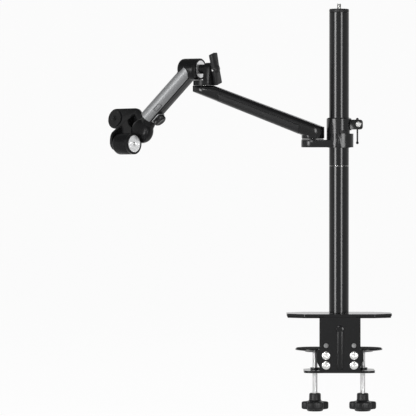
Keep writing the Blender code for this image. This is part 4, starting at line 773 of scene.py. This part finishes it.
def seen_directly(tree):
    """Socket that is 1 for camera, glossy and transmission rays and 0 for others."""
    rays = add(tree, "ShaderNodeLightPath")
    seen = rays.outputs["Is Camera Ray"]
    for kind in ("Is Glossy Ray", "Is Transmission Ray"):
        either = add(tree, "ShaderNodeMath", operation="MAXIMUM")
        tree.links.new(seen, either.inputs[0])
        tree.links.new(rays.outputs[kind], either.inputs[1])
        seen = either.outputs[0]
    return seen


def mix_into(tree, output_kind, amount, unseen, shown):
    """Output that takes the second shader by the amount, and else the first."""
    out = add(tree, output_kind)
    mix = add(tree, "ShaderNodeMixShader")
    tree.links.new(amount, mix.inputs["Fac"])
    tree.links.new(unseen.outputs[0], mix.inputs[1])
    tree.links.new(shown.outputs[0], mix.inputs[2])
    tree.links.new(mix.outputs[0], out.inputs["Surface"])


def stage_material(name, colour, share):
    material = bpy.data.materials.new(name)
    material.use_nodes = True
    tree = material.node_tree
    tree.nodes.clear()
    matt = add(tree, "ShaderNodeBsdfDiffuse", {"Color": colour})
    glow = add(tree, "ShaderNodeEmission", {"Color": WHITE})
    amount = add(tree, "ShaderNodeMath", {1: share}, operation="MULTIPLY")
    tree.links.new(seen_directly(tree), amount.inputs[0])
    mix_into(tree, "ShaderNodeOutputMaterial", amount.outputs[0], matt, glow)
    return material


ground = cad_box[0][2] - KNOB_TRAVEL - FLOOR_GAP
profile = [(FLOOR_FRONT, 0.0), (FLOOR_BACK, 0.0)]
for i in range(1, BEND_STEPS + 1):
    turn = math.radians(90.0 * i / BEND_STEPS)
    profile.append((FLOOR_BACK + BEND_RADIUS * math.sin(turn),
                    BEND_RADIUS - BEND_RADIUS * math.cos(turn)))
profile.append((FLOOR_BACK + BEND_RADIUS, BACKDROP_TOP))
bm = bmesh.new()
left, right = ([bm.verts.new((x, y, z + ground)) for y, z in profile]
               for x in (-FLOOR_HALF, FLOOR_HALF))
for i in range(len(profile) - 1):
    bm.faces.new((left[i], right[i], right[i + 1], left[i + 1]))
mesh = bpy.data.meshes.new("floor")
bm.to_mesh(mesh)
bm.free()
mesh.shade_smooth()
floor = linked("floor", mesh)
mesh.materials.append(stage_material("floor_paper", FLOOR_COLOUR, FLOOR_SHOWN))

# World: plain and dim as a light, white where it is seen, with a darker ceiling
WORLD_STRENGTH = 0.32
CEILING_START = 0.08
CEILING_END = 0.60
CEILING_SHARE = 0.18
world = bpy.data.worlds.new("studio")
bpy.context.scene.world = world
world.use_nodes = True
tree = world.node_tree
tree.nodes.clear()
plain = add(tree, "ShaderNodeBackground", {"Color": WHITE, "Strength": WORLD_STRENGTH})
shown = add(tree, "ShaderNodeBackground", {"Color": WHITE})
heading = add(tree, "ShaderNodeTexCoord")
parts = add(tree, "ShaderNodeSeparateXYZ")
ceiling = add(tree, "ShaderNodeMapRange",
              {"From Min": CEILING_START, "From Max": CEILING_END,
               "To Min": 1.0, "To Max": CEILING_SHARE}, interpolation_type="SMOOTHSTEP")
tree.links.new(heading.outputs["Generated"], parts.inputs["Vector"])
tree.links.new(parts.outputs["Z"], ceiling.inputs["Value"])
tree.links.new(ceiling.outputs["Result"], shown.inputs["Strength"])
mix_into(tree, "ShaderNodeOutputWorld", seen_directly(tree), plain, shown)

# Lights: the key and the fill give the pole its two upright highlights
LIGHT_AIM = Vector((-0.16, 0.0, 0.16))


def softbox(name, azimuth, elevation, distance, width, height, power):
    """Area light aimed at the object. Azimuth 0 is the viewer's side."""
    turn = math.radians(azimuth)
    lift = math.radians(elevation)
    away = Vector((math.sin(turn) * math.cos(lift), -math.cos(turn) * math.cos(lift),
                   math.sin(lift)))
    data = bpy.data.lights.new(name, "AREA")
    data.shape = "RECTANGLE"
    data.size = width
    data.size_y = height
    data.energy = power
    lamp = linked(name, data)
    lamp.rotation_euler = (-away).to_track_quat("-Z", "Y").to_euler()
    lamp.location = LIGHT_AIM + away * distance
    lamp.visible_camera = False


# Azimuth and elevation in degrees, distance, width and height in metres, watts
softbox("key", -43.5, 5.0, 2.4, 0.84, 1.15, 52.0)
softbox("fill", 30.5, 3.0, 2.8, 0.70, 1.10, 37.0)
softbox("front", -14.0, 21.0, 2.4, 0.80, 0.34, 13.0)
softbox("overhead", -20.0, 78.0, 2.2, 1.4, 1.0, 4.0)
softbox("rim", 150.0, 35.0, 2.6, 1.0, 1.2, 10.0)

# Camera at the photograph's angle
VIEW_DISTANCE = 5.0
VIEW_LIFT = 1.0
VIEW_END = 50.0
FRAME_WIDTH = 0.6323
SENSOR_WIDTH = 36.0
target = Vector((-0.1991, 0.0, 0.1660))
lift = math.radians(VIEW_LIFT)
data = bpy.data.cameras.new("camera")
data.sensor_fit = "HORIZONTAL"
data.sensor_width = SENSOR_WIDTH
data.lens = SENSOR_WIDTH * VIEW_DISTANCE / FRAME_WIDTH
data.clip_end = VIEW_END
camera = linked("camera", data)
camera.location = target + Vector((0.0, -math.cos(lift), math.sin(lift))) * VIEW_DISTANCE
camera.rotation_euler = (math.radians(90.0) - lift, 0.0, 0.0)
bpy.context.scene.camera = camera
bpy.context.scene.view_settings.view_transform = "Standard"
